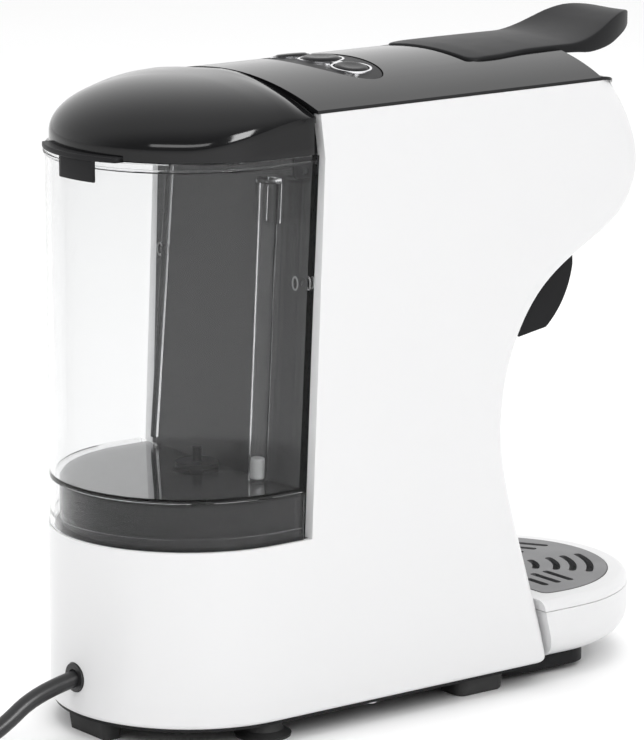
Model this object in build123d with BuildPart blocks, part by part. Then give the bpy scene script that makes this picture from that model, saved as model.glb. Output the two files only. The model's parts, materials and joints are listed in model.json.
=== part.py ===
from build123d import *
import os
from math import cos, pi, radians, sin, tan

os.makedirs("parts", exist_ok=True)

# ---------------------------------------------------------------------------
# Driving dimensions, in millimetres.  +Z is up, -Y is the front, the origin is
# on the table under the middle of the machine.
# ---------------------------------------------------------------------------
HALF = 59.0            # half the width of the machine
WALL = 2.5             # housing wall
SHELL_Z = 9.5          # lower edge of the white housing
SEAT_Z = 83.5          # top of the housing behind the column, where the tank stands
SIDE_TOP = 257.5       # top edge of the side walls
COVER_EDGE = 1.4       # height of the cover's edge above the side walls
CROWN = 9.8            # rise of the top cover from its edges to its middle
CROWN_R = (HALF**2 + CROWN**2) / (2 * CROWN)
TOP_Z = SIDE_TOP + COVER_EDGE + CROWN
REAR_C = 85.0          # centre of the round rear end
EDGE_R = 8.0           # rounding of the housing's front edges
STRIP = 50.0           # half width of the black strip between the white sides
GAP = 0.3              # clearance between neighbouring pieces
REACH = 400.0          # more than the machine's size, for cutting blocks

# Front edge of the side walls, from the foot over the waist to the head.
FRONT = [(-61.2, 14.5), (-53.4, 42.5), (-43.7, 74.5), (-36.5, 110.0), (-42.4, 147.5),
         (-56.0, 169.5), (-80.0, 186.5), (-102.7, 202.5), (-109.0, 222.5), (-103.6, 241.1)]
FOOT_FRONT = (-57.7, SHELL_Z)
HEAD_CORNER = (-95.0, 254.9)
HEAD_TOP = (-83.0, SIDE_TOP)
# Rear edge of the side walls beside the tank: it leans forward up to the lid's rim.
OPENING_LOW = (66.8, SEAT_Z)
OPENING_NECK = (60.1, 239.5)
OPENING_HIGH = (62.4, SIDE_TOP)
# Rear face of the plate behind the tank, which leans a little less.
PLATE_LOW = (65.6, 105.0)
PLATE_SLOPE = -0.0317

SEAM_Y = 64.5          # seam between the top cover and the tank lid
SEAM_GAP = 0.7         # half of its width

TANK_R = HALF - 0.5
TANK_WALL = 2.2
TANK_Z = SEAT_Z + GAP
TANK_FLOOR = 103.0
TANK_TOP = 241.0

TRAY_Y = -77.0         # middle of the drip grille, under the spout
TRAY_Z = 36.5
TRAY_FLOOR = 9.0
GRILLE_R = 50.0
GRILLE_REAR = -65.5     # straight rear edge of the grille

BREW_Y = -78.0         # axis of the capsule, the piston and the spout

LEVER_HALF = 26.4      # half width beside the head's front part
LEVER_REAR = 29.6      # half width at its pivot
LEVER_PIVOT = (-41.0, 265.2)
LEVER_PIN_R = 2.0
CRANK_R = 9.0          # crank of the lever, half its swing below and half above level
LEVER_SWING = 70.0

BUTTON_Y = 17.5
BUTTON_X = [-20.5, 0.0, 20.5]
BUTTON_R = [7.3, 8.4, 7.3]
BUTTON_NAMES = ["button_small_cup", "button_power", "button_large_cup"]

CORD_R = 3.5
CORD_Z = 25.2          # height of the cord's hole in the rear


def plate_y(z):
    """Rear face of the plate behind the tank at a height."""
    return PLATE_LOW[0] + PLATE_SLOPE * (z - PLATE_LOW[1])


def crown_z(x):
    """Height of the crowned top surface over a distance from the middle."""
    return TOP_Z - CROWN_R + (CROWN_R**2 - x**2) ** 0.5


def front_points(inset):
    """Points of the housing's front edge, drawn in by an inset."""
    edge = Spline(*FRONT, HEAD_CORNER)
    count = len(FRONT) + 2
    points = []
    for i in range(count + 1):
        point = edge @ (i / count)
        along = edge % (i / count)
        points.append((point.X + inset * along.Y, point.Y - inset * along.X))
    return points


def side_face():
    """The housing seen from the side."""
    rear = REAR_C + HALF + 5
    with BuildSketch(Plane.YZ) as face:
        with BuildLine():
            Line(FOOT_FRONT, FRONT[0])
            Spline(*FRONT, HEAD_CORNER)
            ThreePointArc(HEAD_CORNER, (-90.0, SIDE_TOP - 0.6), HEAD_TOP)
            Polyline(HEAD_TOP, OPENING_HIGH, OPENING_NECK, OPENING_LOW, (rear, SEAT_Z))
            Polyline((rear, SEAT_Z), (rear, SHELL_Z), FOOT_FRONT)
        make_face()
    return face.sketch


def inner_face(inset):
    """The room behind the front edge, open at the top, the bottom and the rear."""
    points = front_points(inset)
    low = (points[0][0], SHELL_Z - 5)
    high = (points[-1][0], SIDE_TOP + 20)
    with BuildSketch(Plane.YZ) as face:
        with BuildLine():
            Spline(*points)
            Polyline(points[-1], high, (REACH, high[1]), (REACH, low[1]), low, points[0])
        make_face()
    return face.sketch


def plan_face(inset, front, height):
    """The round-ended plan of the machine, drawn in by an inset, at a height."""
    r = HALF - inset
    with BuildSketch(Plane.XY.offset(height)) as face:
        with BuildLine():
            Polyline((-r, REAR_C), (-r, front), (r, front), (r, REAR_C))
            ThreePointArc((r, REAR_C), (0, REAR_C + r), (-r, REAR_C))
        make_face()
    return face.sketch


def side_box(y0, y1, z0, z1):
    """A rectangle seen from the side."""
    with BuildSketch(Plane.YZ) as face:
        with Locations(((y0 + y1) / 2, (z0 + z1) / 2)):
            Rectangle(y1 - y0, z1 - z0)
    return face.sketch


def lever_plan(room, rear_room, corner, height):
    """Plan of the lever with some room round it, straight at the front."""
    half, wide = LEVER_HALF + room, LEVER_REAR + room
    rear = LEVER_PIVOT[0] + rear_room
    with BuildSketch(Plane.XY.offset(height)) as face:
        with BuildLine():
            Polyline((-half, -100), (-half, -68), (-wide, -52), (-wide, rear), (wide, rear),
                     (wide, -52), (half, -68), (half, -100), close=True)
        make_face()
        fillet(face.vertices().group_by(Axis.Y)[-1], corner)
    return face.sketch


def crown_face(drop, half_width, bottom, y):
    """The space under the crowned top, seen from the front, at a depth y."""
    side_z = crown_z(half_width) - drop
    with BuildSketch(Plane.XZ.offset(-y)) as face:
        with BuildLine():
            ThreePointArc((-half_width, side_z), (0, TOP_Z - drop), (half_width, side_z))
            Polyline((half_width, side_z), (half_width, bottom), (-half_width, bottom),
                     (-half_width, side_z))
        make_face()
    return face.sketch


# ---------------------------------------------------------------------------
# Housing and covers
# ---------------------------------------------------------------------------
FLANGE_IN, FLANGE_OUT = 54.1, 57.0
with BuildPart() as housing_inside:
    extrude(inner_face(WALL), amount=HALF + 8, both=True)
    extrude(plan_face(WALL, -130, 0), amount=REACH, mode=Mode.INTERSECT)

with BuildPart() as outer_housing:
    extrude(side_face(), amount=HALF + 8, both=True)
    extrude(plan_face(0, -130, 0), amount=REACH, mode=Mode.INTERSECT)
    fillet(outer_housing.edges().filter_by(GeomType.BSPLINE), EDGE_R)
    low_rear = outer_housing.faces().sort_by(Axis.Z)[0].edges().filter_by(GeomType.CIRCLE)
    fillet(low_rear, 2.0)
    add(housing_inside.part, mode=Mode.SUBTRACT)
    # The front strip is taken by the black panels.
    front_cut = side_box(-130, 20, SHELL_Z - 2, SIDE_TOP + 1)
    extrude(front_cut, amount=STRIP, both=True, mode=Mode.SUBTRACT)
    with BuildSketch(Plane.XZ.offset(-REAR_C - HALF - 5)):
        with Locations((0, CORD_Z)):
            Circle(6.3)
    extrude(amount=12, mode=Mode.SUBTRACT)
    # Return flanges beside the plate behind the tank.
    depth = 2.5
    for x in (-FLANGE_OUT, FLANGE_IN):
        with BuildSketch(Plane.YZ.offset(x)):
            with BuildLine():
                Polyline(OPENING_LOW, OPENING_NECK, OPENING_HIGH, (OPENING_HIGH[0] - depth, SIDE_TOP),
                         (OPENING_NECK[0] - depth, OPENING_NECK[1]), (OPENING_LOW[0] - depth, SEAT_Z),
                         OPENING_LOW)
            make_face()
        extrude(amount=FLANGE_OUT - FLANGE_IN)
outer_housing.part.label = "outer_housing"
export_step(outer_housing.part, "parts/outer_housing.step")

COVER_FRONT, COVER_SIDE = -89.6, -85.0      # the cover's front edge in the middle and at the sides

with BuildPart() as cover_lip:
    with BuildSketch(Plane.YZ):
        with BuildLine():
            ThreePointArc((-94.95, 255.05), (-89.95, SIDE_TOP - 0.45), (-83, SIDE_TOP + 0.1))
            Polyline((-83, SIDE_TOP + 0.1), (-80, SIDE_TOP + 0.1), (-80, SIDE_TOP + COVER_EDGE),
                     (-84, SIDE_TOP + COVER_EDGE))
            ThreePointArc((-84, SIDE_TOP + COVER_EDGE), (-90.7, 258.2), (-95.5, 255.5))
            Line((-95.5, 255.5), (-94.95, 255.05))
        make_face()
    extrude(amount=HALF, both=True)
    with BuildSketch(Plane.XY.offset(SIDE_TOP - 5)):
        with Locations((0, -95.2 + REACH / 2)):
            RectangleRounded(2 * HALF, REACH, EDGE_R)
    extrude(amount=10, mode=Mode.INTERSECT)

with BuildPart() as top_cover:
    cover_rear = SEAM_Y - SEAM_GAP
    cover_bottom = SIDE_TOP + 0.1
    extrude(crown_face(0, HALF, cover_bottom, cover_rear), amount=160)
    # The front edge is bowed, and a lip below it follows the rounded tops of the side walls.
    with BuildSketch(Plane.XY.offset(cover_bottom - 5)):
        with BuildLine():
            ThreePointArc((-HALF, COVER_SIDE), (0, COVER_FRONT), (HALF, COVER_SIDE))
            Polyline((HALF, COVER_SIDE), (HALF, 70), (-HALF, 70), (-HALF, COVER_SIDE))
        make_face()
    extrude(amount=40, mode=Mode.INTERSECT)
    extrude(crown_face(2.2, HALF - 6, cover_bottom - 1, cover_rear), amount=cover_rear - COVER_SIDE - 1,
            mode=Mode.SUBTRACT)
    add(cover_lip.part)
    # Notch in which the lever lies.
    add(lever_plan(0.5, 5.2, 2.0, cover_bottom - 5))
    extrude(amount=30, mode=Mode.SUBTRACT)
    # Window of the control panel.
    with BuildSketch(Plane.XY.offset(SIDE_TOP)):
        with Locations((0, BUTTON_Y)):
            Ellipse(37, 15.5)
    extrude(amount=30, mode=Mode.SUBTRACT)
top_cover.part.label = "top_cover"
export_step(top_cover.part, "parts/top_cover.step")


def front_skin(z0, z1):
    """A stretch of the black strip between the white sides."""
    with BuildPart() as skin:
        extrude(inner_face(0.6), amount=STRIP - GAP, both=True)
        extrude(inner_face(3.0), amount=STRIP, both=True, mode=Mode.SUBTRACT)
        extrude(side_box(-130, -20, z0, z1), amount=STRIP, both=True, mode=Mode.INTERSECT)
    return skin.part


HOLDER_LOW = 203.5     # capsule holder, bottom and top
HOLDER_TOP = 235.0
HOLDER_HALF = 26.9
PANEL_SPLIT = 197.0    # seam between the head's front panel and the column panel

with BuildPart() as front_panel:
    add(front_skin(PANEL_SPLIT + 0.2, SIDE_TOP - 4))
    slot = side_box(-130, -60, HOLDER_LOW - 0.4, HOLDER_TOP + 0.5)
    extrude(slot, amount=HOLDER_HALF + 0.5, both=True, mode=Mode.SUBTRACT)
front_panel.part.label = "front_panel"
export_step(front_panel.part, "parts/front_panel.step")

NOSE_HALF = 26.0
NOSE_TOP = PANEL_SPLIT - 0.4

with BuildPart() as column_panel:
    add(front_skin(SHELL_Z + 3.5, PANEL_SPLIT - 0.2))
    extrude(side_box(-130, -56, 150, PANEL_SPLIT + 1), amount=NOSE_HALF + 0.2, both=True,
            mode=Mode.SUBTRACT)
column_panel.part.label = "column_panel"
export_step(column_panel.part, "parts/column_panel.step")

# The nose hangs under the head and surrounds the spout.
with BuildPart() as nose_cover:
    with BuildSketch(Plane.YZ) as nose_side:
        with BuildLine():
            Polyline((-56.5, 168.0), (-56.5, NOSE_TOP), (-98.0, NOSE_TOP), (-98.5, 173.0))
            ThreePointArc((-98.5, 173.0), (-93.0, 157.5), (-84.0, 147.0))
            Polyline((-84.0, 147.0), (-69.0, 144.5), (-56.5, 168.0))
        make_face()
    extrude(amount=NOSE_HALF, both=True)
    extrude(offset(nose_side.sketch, amount=-2.0, kind=Kind.INTERSECTION, mode=Mode.PRIVATE),
            amount=NOSE_HALF - 2, both=True, mode=Mode.SUBTRACT)
    with BuildSketch(Plane.XY.offset(NOSE_TOP - 3)):
        with Locations((0, BREW_Y)):
            Rectangle(2 * NOSE_HALF - 4, 30)
    extrude(amount=5, mode=Mode.SUBTRACT)
    with BuildSketch(Plane.XY.offset(140)):
        with Locations((0, BREW_Y)):
            Circle(9.0)
    extrude(amount=14, mode=Mode.SUBTRACT)
nose_cover.part.label = "nose_cover"
export_step(nose_cover.part, "parts/nose_cover.step")

# Plate behind the tank, leaning like the edges of the side walls.
with BuildPart() as rear_wall:
    low, high = SEAT_Z + 0.5, SIDE_TOP - 2
    with BuildSketch(Plane.YZ):
        with BuildLine():
            Polyline((plate_y(low), low), (plate_y(high), high),
                     (plate_y(high) - 2.2, high), (plate_y(low) - 2.2, low), close=True)
        make_face()
    extrude(amount=FLANGE_IN - GAP, both=True)
    boss_z = 187.5
    with BuildSketch(Plane.XZ.offset(-plate_y(boss_z) + 1)):
        with Locations((-49, boss_z), (49, boss_z)):
            Circle(2.5)
            Circle(1.2, mode=Mode.SUBTRACT)
    extrude(amount=-1.6)
rear_wall.part.label = "rear_wall"
export_step(rear_wall.part, "parts/rear_wall.step")

# ---------------------------------------------------------------------------
# Base, seat and feet
# ---------------------------------------------------------------------------
PEDESTAL_R = 54.3
VALVE_AT = (0.0, 82.0)

with BuildPart() as tank_pedestal:
    extrude(plan_face(WALL + 0.2, 68.5, SEAT_Z - 2.5), amount=2.5)
    extrude(plan_face(HALF - PEDESTAL_R, 69.0, SEAT_Z), amount=TANK_FLOOR - 0.5 - SEAT_Z)
    fillet(tank_pedestal.faces().sort_by(Axis.Z)[-1].edges(), 1.5)
    extrude(plan_face(HALF - PEDESTAL_R + 2.5, 71.5, SEAT_Z - 3), amount=15, mode=Mode.SUBTRACT)
    with BuildSketch(Plane.XY.offset(TANK_FLOOR - 5.5)):
        with Locations(VALVE_AT):
            Circle(11)
    extrude(amount=6, mode=Mode.SUBTRACT)
    with BuildSketch(Plane.XY.offset(SEAT_Z + 4)):
        with Locations(VALVE_AT):
            Circle(7)
            Circle(3, mode=Mode.SUBTRACT)
    extrude(amount=9)
    with BuildSketch(Plane.XY.offset(SEAT_Z)):
        with Locations(VALVE_AT):
            Circle(3)
    extrude(amount=30, mode=Mode.SUBTRACT)
tank_pedestal.part.label = "tank_pedestal"
export_step(tank_pedestal.part, "parts/tank_pedestal.step")

with BuildPart() as inlet_seal:
    with BuildSketch(Plane.XY.offset(TANK_FLOOR - 5.4)):
        with Locations(VALVE_AT):
            Circle(10.5)
            Circle(5.5, mode=Mode.SUBTRACT)
    extrude(amount=2.4)
inlet_seal.part.label = "inlet_seal"
export_step(inlet_seal.part, "parts/inlet_seal.step")

TONGUE_FRONT = -94.0    # the base plate reaches forward under the drip tray
with BuildPart() as base_plate:
    extrude(plan_face(1.5, FOOT_FRONT[0] + 2.5, SHELL_Z - 1.2), amount=1.2)
    extrude(plan_face(WALL + 0.3, FOOT_FRONT[0] + 3.5, SHELL_Z - 1.2), amount=4.2)
    with BuildSketch(Plane.XY.offset(2.6)) as tongue:
        with Locations((0, (TONGUE_FRONT - 40) / 2)):
            RectangleRounded(96, -40 - TONGUE_FRONT, 12)
    extrude(amount=TRAY_FLOOR - GAP - 2.6)
    pocket = plan_face(WALL + 3.3, FOOT_FRONT[0] + 7, SHELL_Z + 1)
    extrude(pocket, amount=5, mode=Mode.SUBTRACT)
base_plate.part.label = "base_plate"
export_step(base_plate.part, "parts/base_plate.step")

FOOT_TOP = SHELL_Z - 1.2
for side, name in ((-1, "front_foot_left"), (1, "front_foot_right")):
    with BuildPart() as front_foot:
        with BuildSketch():
            with Locations((side * 45.5, -28)):
                RectangleRounded(15, 24, 4)
        extrude(amount=FOOT_TOP, taper=-6)
        fillet(front_foot.faces().sort_by(Axis.Z)[0].edges(), 1.0)
    front_foot.part.label = name
    export_step(front_foot.part, f"parts/{name}.step")

with BuildPart() as rear_foot:
    with BuildSketch():
        with Locations((0, 134)):
            RectangleRounded(26, 8, 2)
    extrude(amount=FOOT_TOP, taper=-8)
rear_foot.part.label = "rear_foot"
export_step(rear_foot.part, "parts/rear_foot.step")

for side, name in ((-1, "suction_foot_left"), (1, "suction_foot_right")):
    with BuildPart() as suction_foot:
        with BuildSketch(Plane.XZ.offset(-81)):
            with BuildLine():
                Polyline((0, 1.2), (8, 0), (11.5, 0), (11.8, 1.2), (8.6, 3.0), (7.8, FOOT_TOP),
                         (0, FOOT_TOP), close=True)
            make_face()
        revolve(axis=Axis((0, 81, 0), (0, 0, 1)))
    cup = suction_foot.part.moved(Location((side * 44, 0, 0)))
    cup.label = name
    export_step(cup, f"parts/{name}.step")

# ---------------------------------------------------------------------------
# Water tank, its lid, valve and level float
# ---------------------------------------------------------------------------
TANK_FRONT_LOW = (69.8, 104.0)
TANK_FRONT_HIGH = (62.8, TANK_TOP)
WALL_LEAN = (TANK_FRONT_HIGH[0] - TANK_FRONT_LOW[0]) / (TANK_TOP - TANK_FRONT_LOW[1])


def tank_side(inset, z0, z1):
    """The tank seen from the side: its front wall leans forward."""
    y_low = TANK_FRONT_LOW[0] + WALL_LEAN * (z0 - TANK_FRONT_LOW[1]) + inset
    y_high = TANK_FRONT_LOW[0] + WALL_LEAN * (z1 - TANK_FRONT_LOW[1]) + inset
    with BuildSketch(Plane.YZ) as face:
        with BuildLine():
            Polyline((y_low, z0), (y_high, z1), (REAR_C + HALF, z1), (REAR_C + HALF, z0),
                     close=True)
        make_face()
    return face.sketch


with BuildPart() as tank_inside:
    extrude(tank_side(TANK_WALL, TANK_FLOOR + TANK_WALL, TANK_TOP + 1), amount=HALF, both=True)
    extrude(plan_face(HALF - TANK_R + TANK_WALL, 50, 50), amount=REACH, mode=Mode.INTERSECT)

with BuildPart() as water_tank:
    extrude(tank_side(0, TANK_Z, TANK_TOP), amount=HALF, both=True)
    extrude(plan_face(HALF - TANK_R, 50, 50), amount=REACH, mode=Mode.INTERSECT)
    add(tank_inside.part, mode=Mode.SUBTRACT)
    # Skirt around the pedestal, open towards the column.
    extrude(plan_face(HALF - TANK_R + TANK_WALL - 0.4, 60, TANK_Z - 1),
            amount=TANK_FLOOR - TANK_Z + 1, mode=Mode.SUBTRACT)
    with BuildSketch(Plane.XY.offset(TANK_FLOOR - 1)):
        with Locations(VALVE_AT):
            Circle(5)
    extrude(amount=6, mode=Mode.SUBTRACT)
water_tank.part.label = "water_tank"
export_step(water_tank.part, "parts/water_tank.step")

with BuildPart() as tank_valve:
    with BuildSketch(Plane.XY.offset(TANK_FLOOR + TANK_WALL + 0.1)):
        with Locations(VALVE_AT):
            Circle(9)
    extrude(amount=2)
    with BuildSketch(Plane.XY.offset(TANK_FLOOR - 2.2)):
        with Locations(VALVE_AT):
            Circle(3)
    extrude(amount=6)
    with BuildSketch(Plane.XY.offset(TANK_FLOOR + TANK_WALL + 2)):
        with Locations(VALVE_AT):
            Circle(2)
    extrude(amount=6)
tank_valve.part.label = "tank_valve"
export_step(tank_valve.part, "parts/tank_valve.step")

# Level gauge: a clear tube along the leaning front wall with a float in it.
GAUGE_X = -36.1
GAUGE_LOW = Vector(GAUGE_X, 77.9, TANK_FLOOR + TANK_WALL + 0.6)
GAUGE_DIR = Vector(0, WALL_LEAN, 1).normalized()
GAUGE_LENGTH = 122.0
GAUGE_R = 3.9
gauge_plane = Plane(origin=GAUGE_LOW, x_dir=(1, 0, 0), z_dir=GAUGE_DIR)

with BuildPart() as gauge_tube:
    with BuildSketch(gauge_plane):
        Circle(GAUGE_R)
        Circle(GAUGE_R - 0.7, mode=Mode.SUBTRACT)
    extrude(amount=GAUGE_LENGTH)
    with BuildSketch(gauge_plane.offset(GAUGE_LENGTH)):
        RectangleRounded(9.4, 8, 2.4)
    extrude(amount=2)
    with BuildSketch(gauge_plane.offset(GAUGE_LENGTH - 16)):
        with Locations((GAUGE_R + 0.4, 0), (-GAUGE_R - 0.4, 0)):
            Rectangle(1.0, 6)
    extrude(amount=16.5)
gauge_tube.part.label = "gauge_tube"
export_step(gauge_tube.part, "parts/gauge_tube.step")

with BuildPart() as level_float:
    with BuildSketch(gauge_plane.offset(0.3)):
        Circle(GAUGE_R - 1.0)
    extrude(amount=9)
    fillet(level_float.edges().filter_by(GeomType.CIRCLE), 1.0)
level_float.part.label = "level_float"
export_step(level_float.part, "parts/level_float.step")

LID_Z = TANK_TOP + 0.2
LID_FRONT = SEAM_Y + SEAM_GAP
HINGE_R = 4.0
HINGE = (LID_FRONT + HINGE_R, TOP_Z - HINGE_R)
LID_SWING_R = HINGE[1] - LID_Z - 0.2


def lid_side(inset, bottom):
    """The lid seen from the side; its front edge turns about the hinge."""
    r = HINGE_R - inset
    front = HINGE[0] - r
    with BuildSketch(Plane.YZ) as face:
        with BuildLine():
            Line((front, bottom), (front, HINGE[1]))
            RadiusArc((front, HINGE[1]), (HINGE[0], HINGE[1] + r), r)
            Polyline((HINGE[0], HINGE[1] + r), (REAR_C + HALF, HINGE[1] + r),
                     (REAR_C + HALF, bottom), (front, bottom))
        make_face()
    return face.sketch


with BuildPart() as lid_inside:
    extrude(crown_face(2.0, HALF, LID_Z - 5, REAR_C + HALF), amount=95)
    extrude(plan_face(HALF - TANK_R + 2.2, 50, 100), amount=REACH, mode=Mode.INTERSECT)
    fillet(lid_inside.faces().sort_by(Axis.Z)[-1].edges().sort_by(Axis.Y)[-1], 7.0)
    extrude(lid_side(1.4, LID_Z - 10), amount=HALF, both=True, mode=Mode.INTERSECT)

with BuildPart() as tank_lid:
    extrude(crown_face(0, HALF, LID_Z, REAR_C + HALF), amount=95)
    extrude(plan_face(HALF - TANK_R, 50, 100), amount=REACH, mode=Mode.INTERSECT)
    fillet(tank_lid.faces().sort_by(Axis.Z)[-1].edges().sort_by(Axis.Y)[-1], 9.0)
    extrude(lid_side(0, LID_Z - 10), amount=HALF, both=True, mode=Mode.INTERSECT)
    add(lid_inside.part, mode=Mode.SUBTRACT)
    # Cheeks that reach forward to the edges of the side walls.
    for x in (-TANK_R, TANK_R - 2):
        with BuildSketch(Plane.YZ.offset(x)):
            with BuildLine():
                Polyline((61.1, LID_Z), (64.3, SIDE_TOP - 0.4), (66.5, SIDE_TOP - 0.4),
                         (66.5, LID_Z), close=True)
            make_face()
        extrude(amount=2)
    # The lower front edge turns about the hinge without touching the tank's rim.
    with BuildSketch(Plane.YZ):
        with Locations((HINGE[0] - 10, HINGE[1] - 15)):
            Rectangle(20, 30)
        with Locations(HINGE):
            Circle(LID_SWING_R, mode=Mode.SUBTRACT)
    extrude(amount=HALF, both=True, mode=Mode.SUBTRACT)
    # Notch in the front wall for the tank's hinge bracket.
    notch = side_box(LID_FRONT - 1, LID_FRONT + 2.6, LID_Z - 1, HINGE[1] + 2.2)
    extrude(notch, amount=5.3, both=True, mode=Mode.SUBTRACT)
    # Finger lip at the rear.
    with BuildSketch(Plane.XY.offset(LID_Z - 3.7)):
        with Locations((0, REAR_C + HALF + 2.5 - 50)):
            Circle(50)
        with Locations((0, REAR_C)):
            Circle(TANK_R + 0.4, mode=Mode.SUBTRACT)
    extrude(amount=6)
    with BuildSketch(Plane.XY.offset(LID_Z)):
        with Locations((0, REAR_C + HALF + 2.5 - 50)):
            Circle(50)
        with Locations((0, REAR_C)):
            Circle(TANK_R - 1, mode=Mode.SUBTRACT)
    extrude(amount=2.3)
    # Tabs that reach down inside the tank's front corners.
    for x in (-53, 53):
        with BuildSketch(Plane.YZ.offset(x - 1)):
            with Locations((69.5, LID_Z - 1)):
                Rectangle(8, 16)
            with Locations((69, LID_Z - 5)):
                Circle(1.5, mode=Mode.SUBTRACT)
        extrude(amount=2)
    # Hinge knuckles in the middle of the front edge.
    for x in (-11, 5.3):
        with BuildSketch(Plane.YZ.offset(x)):
            with Locations(HINGE):
                Circle(2.2)
        extrude(amount=5.7)
        with BuildSketch(Plane.YZ.offset(x)):
            with Locations((HINGE[0] - 1.6, HINGE[1] + 0.2)):
                Rectangle(2.4, 4.0)
        extrude(amount=5.7)
    with BuildSketch(Plane.YZ.offset(-15)):
        with Locations(HINGE):
            Circle(1.05)
    extrude(amount=30, mode=Mode.SUBTRACT)
tank_lid.part.label = "tank_lid"
export_step(tank_lid.part, "parts/tank_lid.step")

with BuildPart() as hinge_bracket:
    # Post that stands on the tank's front rim and carries the hinge pin.
    with BuildSketch(Plane.YZ.offset(-4.8)):
        with BuildLine():
            Polyline((65.8, 230.0), (65.4, 239.6), (66.9, 240.9), (67.4, HINGE[1]),
                     (71.3, HINGE[1]), (71.3, 244.0), (68.2, 230.0), close=True)
        make_face()
        with Locations(HINGE):
            Circle(1.8)
    extrude(amount=9.6)
    with BuildSketch(Plane.YZ.offset(-5)):
        with Locations(HINGE):
            Circle(1.0)
    extrude(amount=10, mode=Mode.SUBTRACT)
hinge_bracket.part.label = "hinge_bracket"
export_step(hinge_bracket.part, "parts/hinge_bracket.step")

with BuildPart() as hinge_pin:
    with BuildSketch(Plane.YZ.offset(-10.8)):
        with Locations(HINGE):
            Circle(1.0)
    extrude(amount=21.6)
hinge_pin.part.label = "hinge_pin"
export_step(hinge_pin.part, "parts/hinge_pin.step")

# ---------------------------------------------------------------------------
# Drip tray, drawn off forwards, and its grille
# ---------------------------------------------------------------------------
RIM_Z = 31.5           # seam between the tray and its rim ring
TRAY_R = HALF - 0.2


def tray_plan(radius, rear, height):
    """Round-fronted plan of the tray."""
    with BuildSketch(Plane.XY.offset(height)) as face:
        with BuildLine():
            Polyline((-radius, TRAY_Y), (-radius, rear), (radius, rear), (radius, TRAY_Y))
            ThreePointArc((radius, TRAY_Y), (0, TRAY_Y - radius), (-radius, TRAY_Y))
        make_face()
    return face.sketch


def grille_plan(inset, height):
    """Round plan of the grille with a straight rear edge, drawn in by an inset."""
    with BuildSketch(Plane.XY.offset(height)) as face:
        with Locations((0, TRAY_Y)):
            Circle(GRILLE_R - inset)
        with Locations((0, GRILLE_REAR - inset + GRILLE_R)):
            Rectangle(3 * GRILLE_R, 2 * GRILLE_R, mode=Mode.SUBTRACT)
        fillet(face.vertices(), 4.0)
    return face.sketch


# The tray's rear edge slants like the foot of the column.
with BuildPart() as tray_space:
    with BuildSketch(Plane.YZ):
        with BuildLine():
            Polyline((-62.4, TRAY_FLOOR), (-62.4, 14.5), (-56.6, TRAY_Z + 1), (-200, TRAY_Z + 1),
                     (-200, TRAY_FLOOR), close=True)
        make_face()
    extrude(amount=HALF + 5, both=True)

with BuildPart() as tray_body:
    extrude(tray_plan(TRAY_R, -40, TRAY_FLOOR), amount=RIM_Z - GAP / 2 - TRAY_FLOOR)
    fillet(tray_body.faces().sort_by(Axis.Z)[0].edges(), 12.0)
    extrude(tray_plan(TRAY_R - 2.2, -65.5, TRAY_FLOOR + 8), amount=40, mode=Mode.SUBTRACT)
    extrude(tray_plan(TRAY_R - 9.5, -68, TRAY_FLOOR + 2.5), amount=8, mode=Mode.SUBTRACT)
    add(tray_space.part, mode=Mode.INTERSECT)
tray_body.part.label = "tray_body"
export_step(tray_body.part, "parts/tray_body.step")

with BuildPart() as tray_rim:
    extrude(tray_plan(TRAY_R, -40, RIM_Z + GAP / 2), amount=TRAY_Z - RIM_Z - GAP / 2)
    fillet(tray_rim.faces().sort_by(Axis.Z)[-1].edges(), 3.5)
    extrude(grille_plan(3.0, RIM_Z - 1), amount=10, mode=Mode.SUBTRACT)
    extrude(grille_plan(-0.4, TRAY_Z - 2.2), amount=10, mode=Mode.SUBTRACT)
    add(tray_space.part, mode=Mode.INTERSECT)
tray_rim.part.label = "tray_rim"
export_step(tray_rim.part, "parts/tray_rim.step")

SLOT_WIDTH = 3.2
SIDE_SLOTS = [(-12.0, 19.0), (-5.0, 19.0), (2.0, 14.0)]       # y from the grille's middle, length
SIDE_SLOT_END = 39.5                                          # their outer ends
ARC_SLOTS = [19.0, 28.0, 35.2, 42.6]                          # radii
ARC_SPAN = 38.0
ARC_MIDDLE = 240.0
FRONT_SLOTS = [(19.0, -36.5, 18.0), (16.5, -29.5, 15.0), (14.0, -22.5, 11.0)]    # middle, length
FRONT_SLOT_TURN = 33.0

with BuildPart() as drip_grille:
    with BuildSketch(Plane.XY.offset(TRAY_Z - 2.0)):
        add(grille_plan(0, 0))
        with Locations((0, TRAY_Y)):
            for y, length in SIDE_SLOTS:
                for side in (-1, 1):
                    with Locations((side * (SIDE_SLOT_END - length / 2), y)):
                        SlotOverall(length, SLOT_WIDTH, mode=Mode.SUBTRACT)
            for x, y, length in FRONT_SLOTS:
                with Locations((x, y)):
                    SlotOverall(length, SLOT_WIDTH, rotation=FRONT_SLOT_TURN, mode=Mode.SUBTRACT)
        for radius in ARC_SLOTS:
            arc = CenterArc((0, TRAY_Y), radius, ARC_MIDDLE - ARC_SPAN / 2, ARC_SPAN,
                            mode=Mode.PRIVATE)
            SlotArc(arc, SLOT_WIDTH, mode=Mode.SUBTRACT)
    extrude(amount=2.2)
drip_grille.part.label = "drip_grille"
export_step(drip_grille.part, "parts/drip_grille.step")

# ---------------------------------------------------------------------------
# Lever and the piston that it lifts
# ---------------------------------------------------------------------------
PY, PZ = LEVER_PIVOT
LEVER_TIP = -146.5
HALF_SWING = radians(LEVER_SWING / 2)
CRANK = (PY - CRANK_R * cos(HALF_SWING), PZ - CRANK_R * sin(HALF_SWING))
CRANK_PIN_R = 2.0
PISTON_TRAVEL = 2 * CRANK_R * sin(HALF_SWING)
print("piston travel", PISTON_TRAVEL, "mm, ratio", PISTON_TRAVEL / radians(LEVER_SWING) / 1000)
EAR_IN, EAR_OUT = 16.3, 20.0     # ears of the head frame that hold the lever's pin

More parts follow.
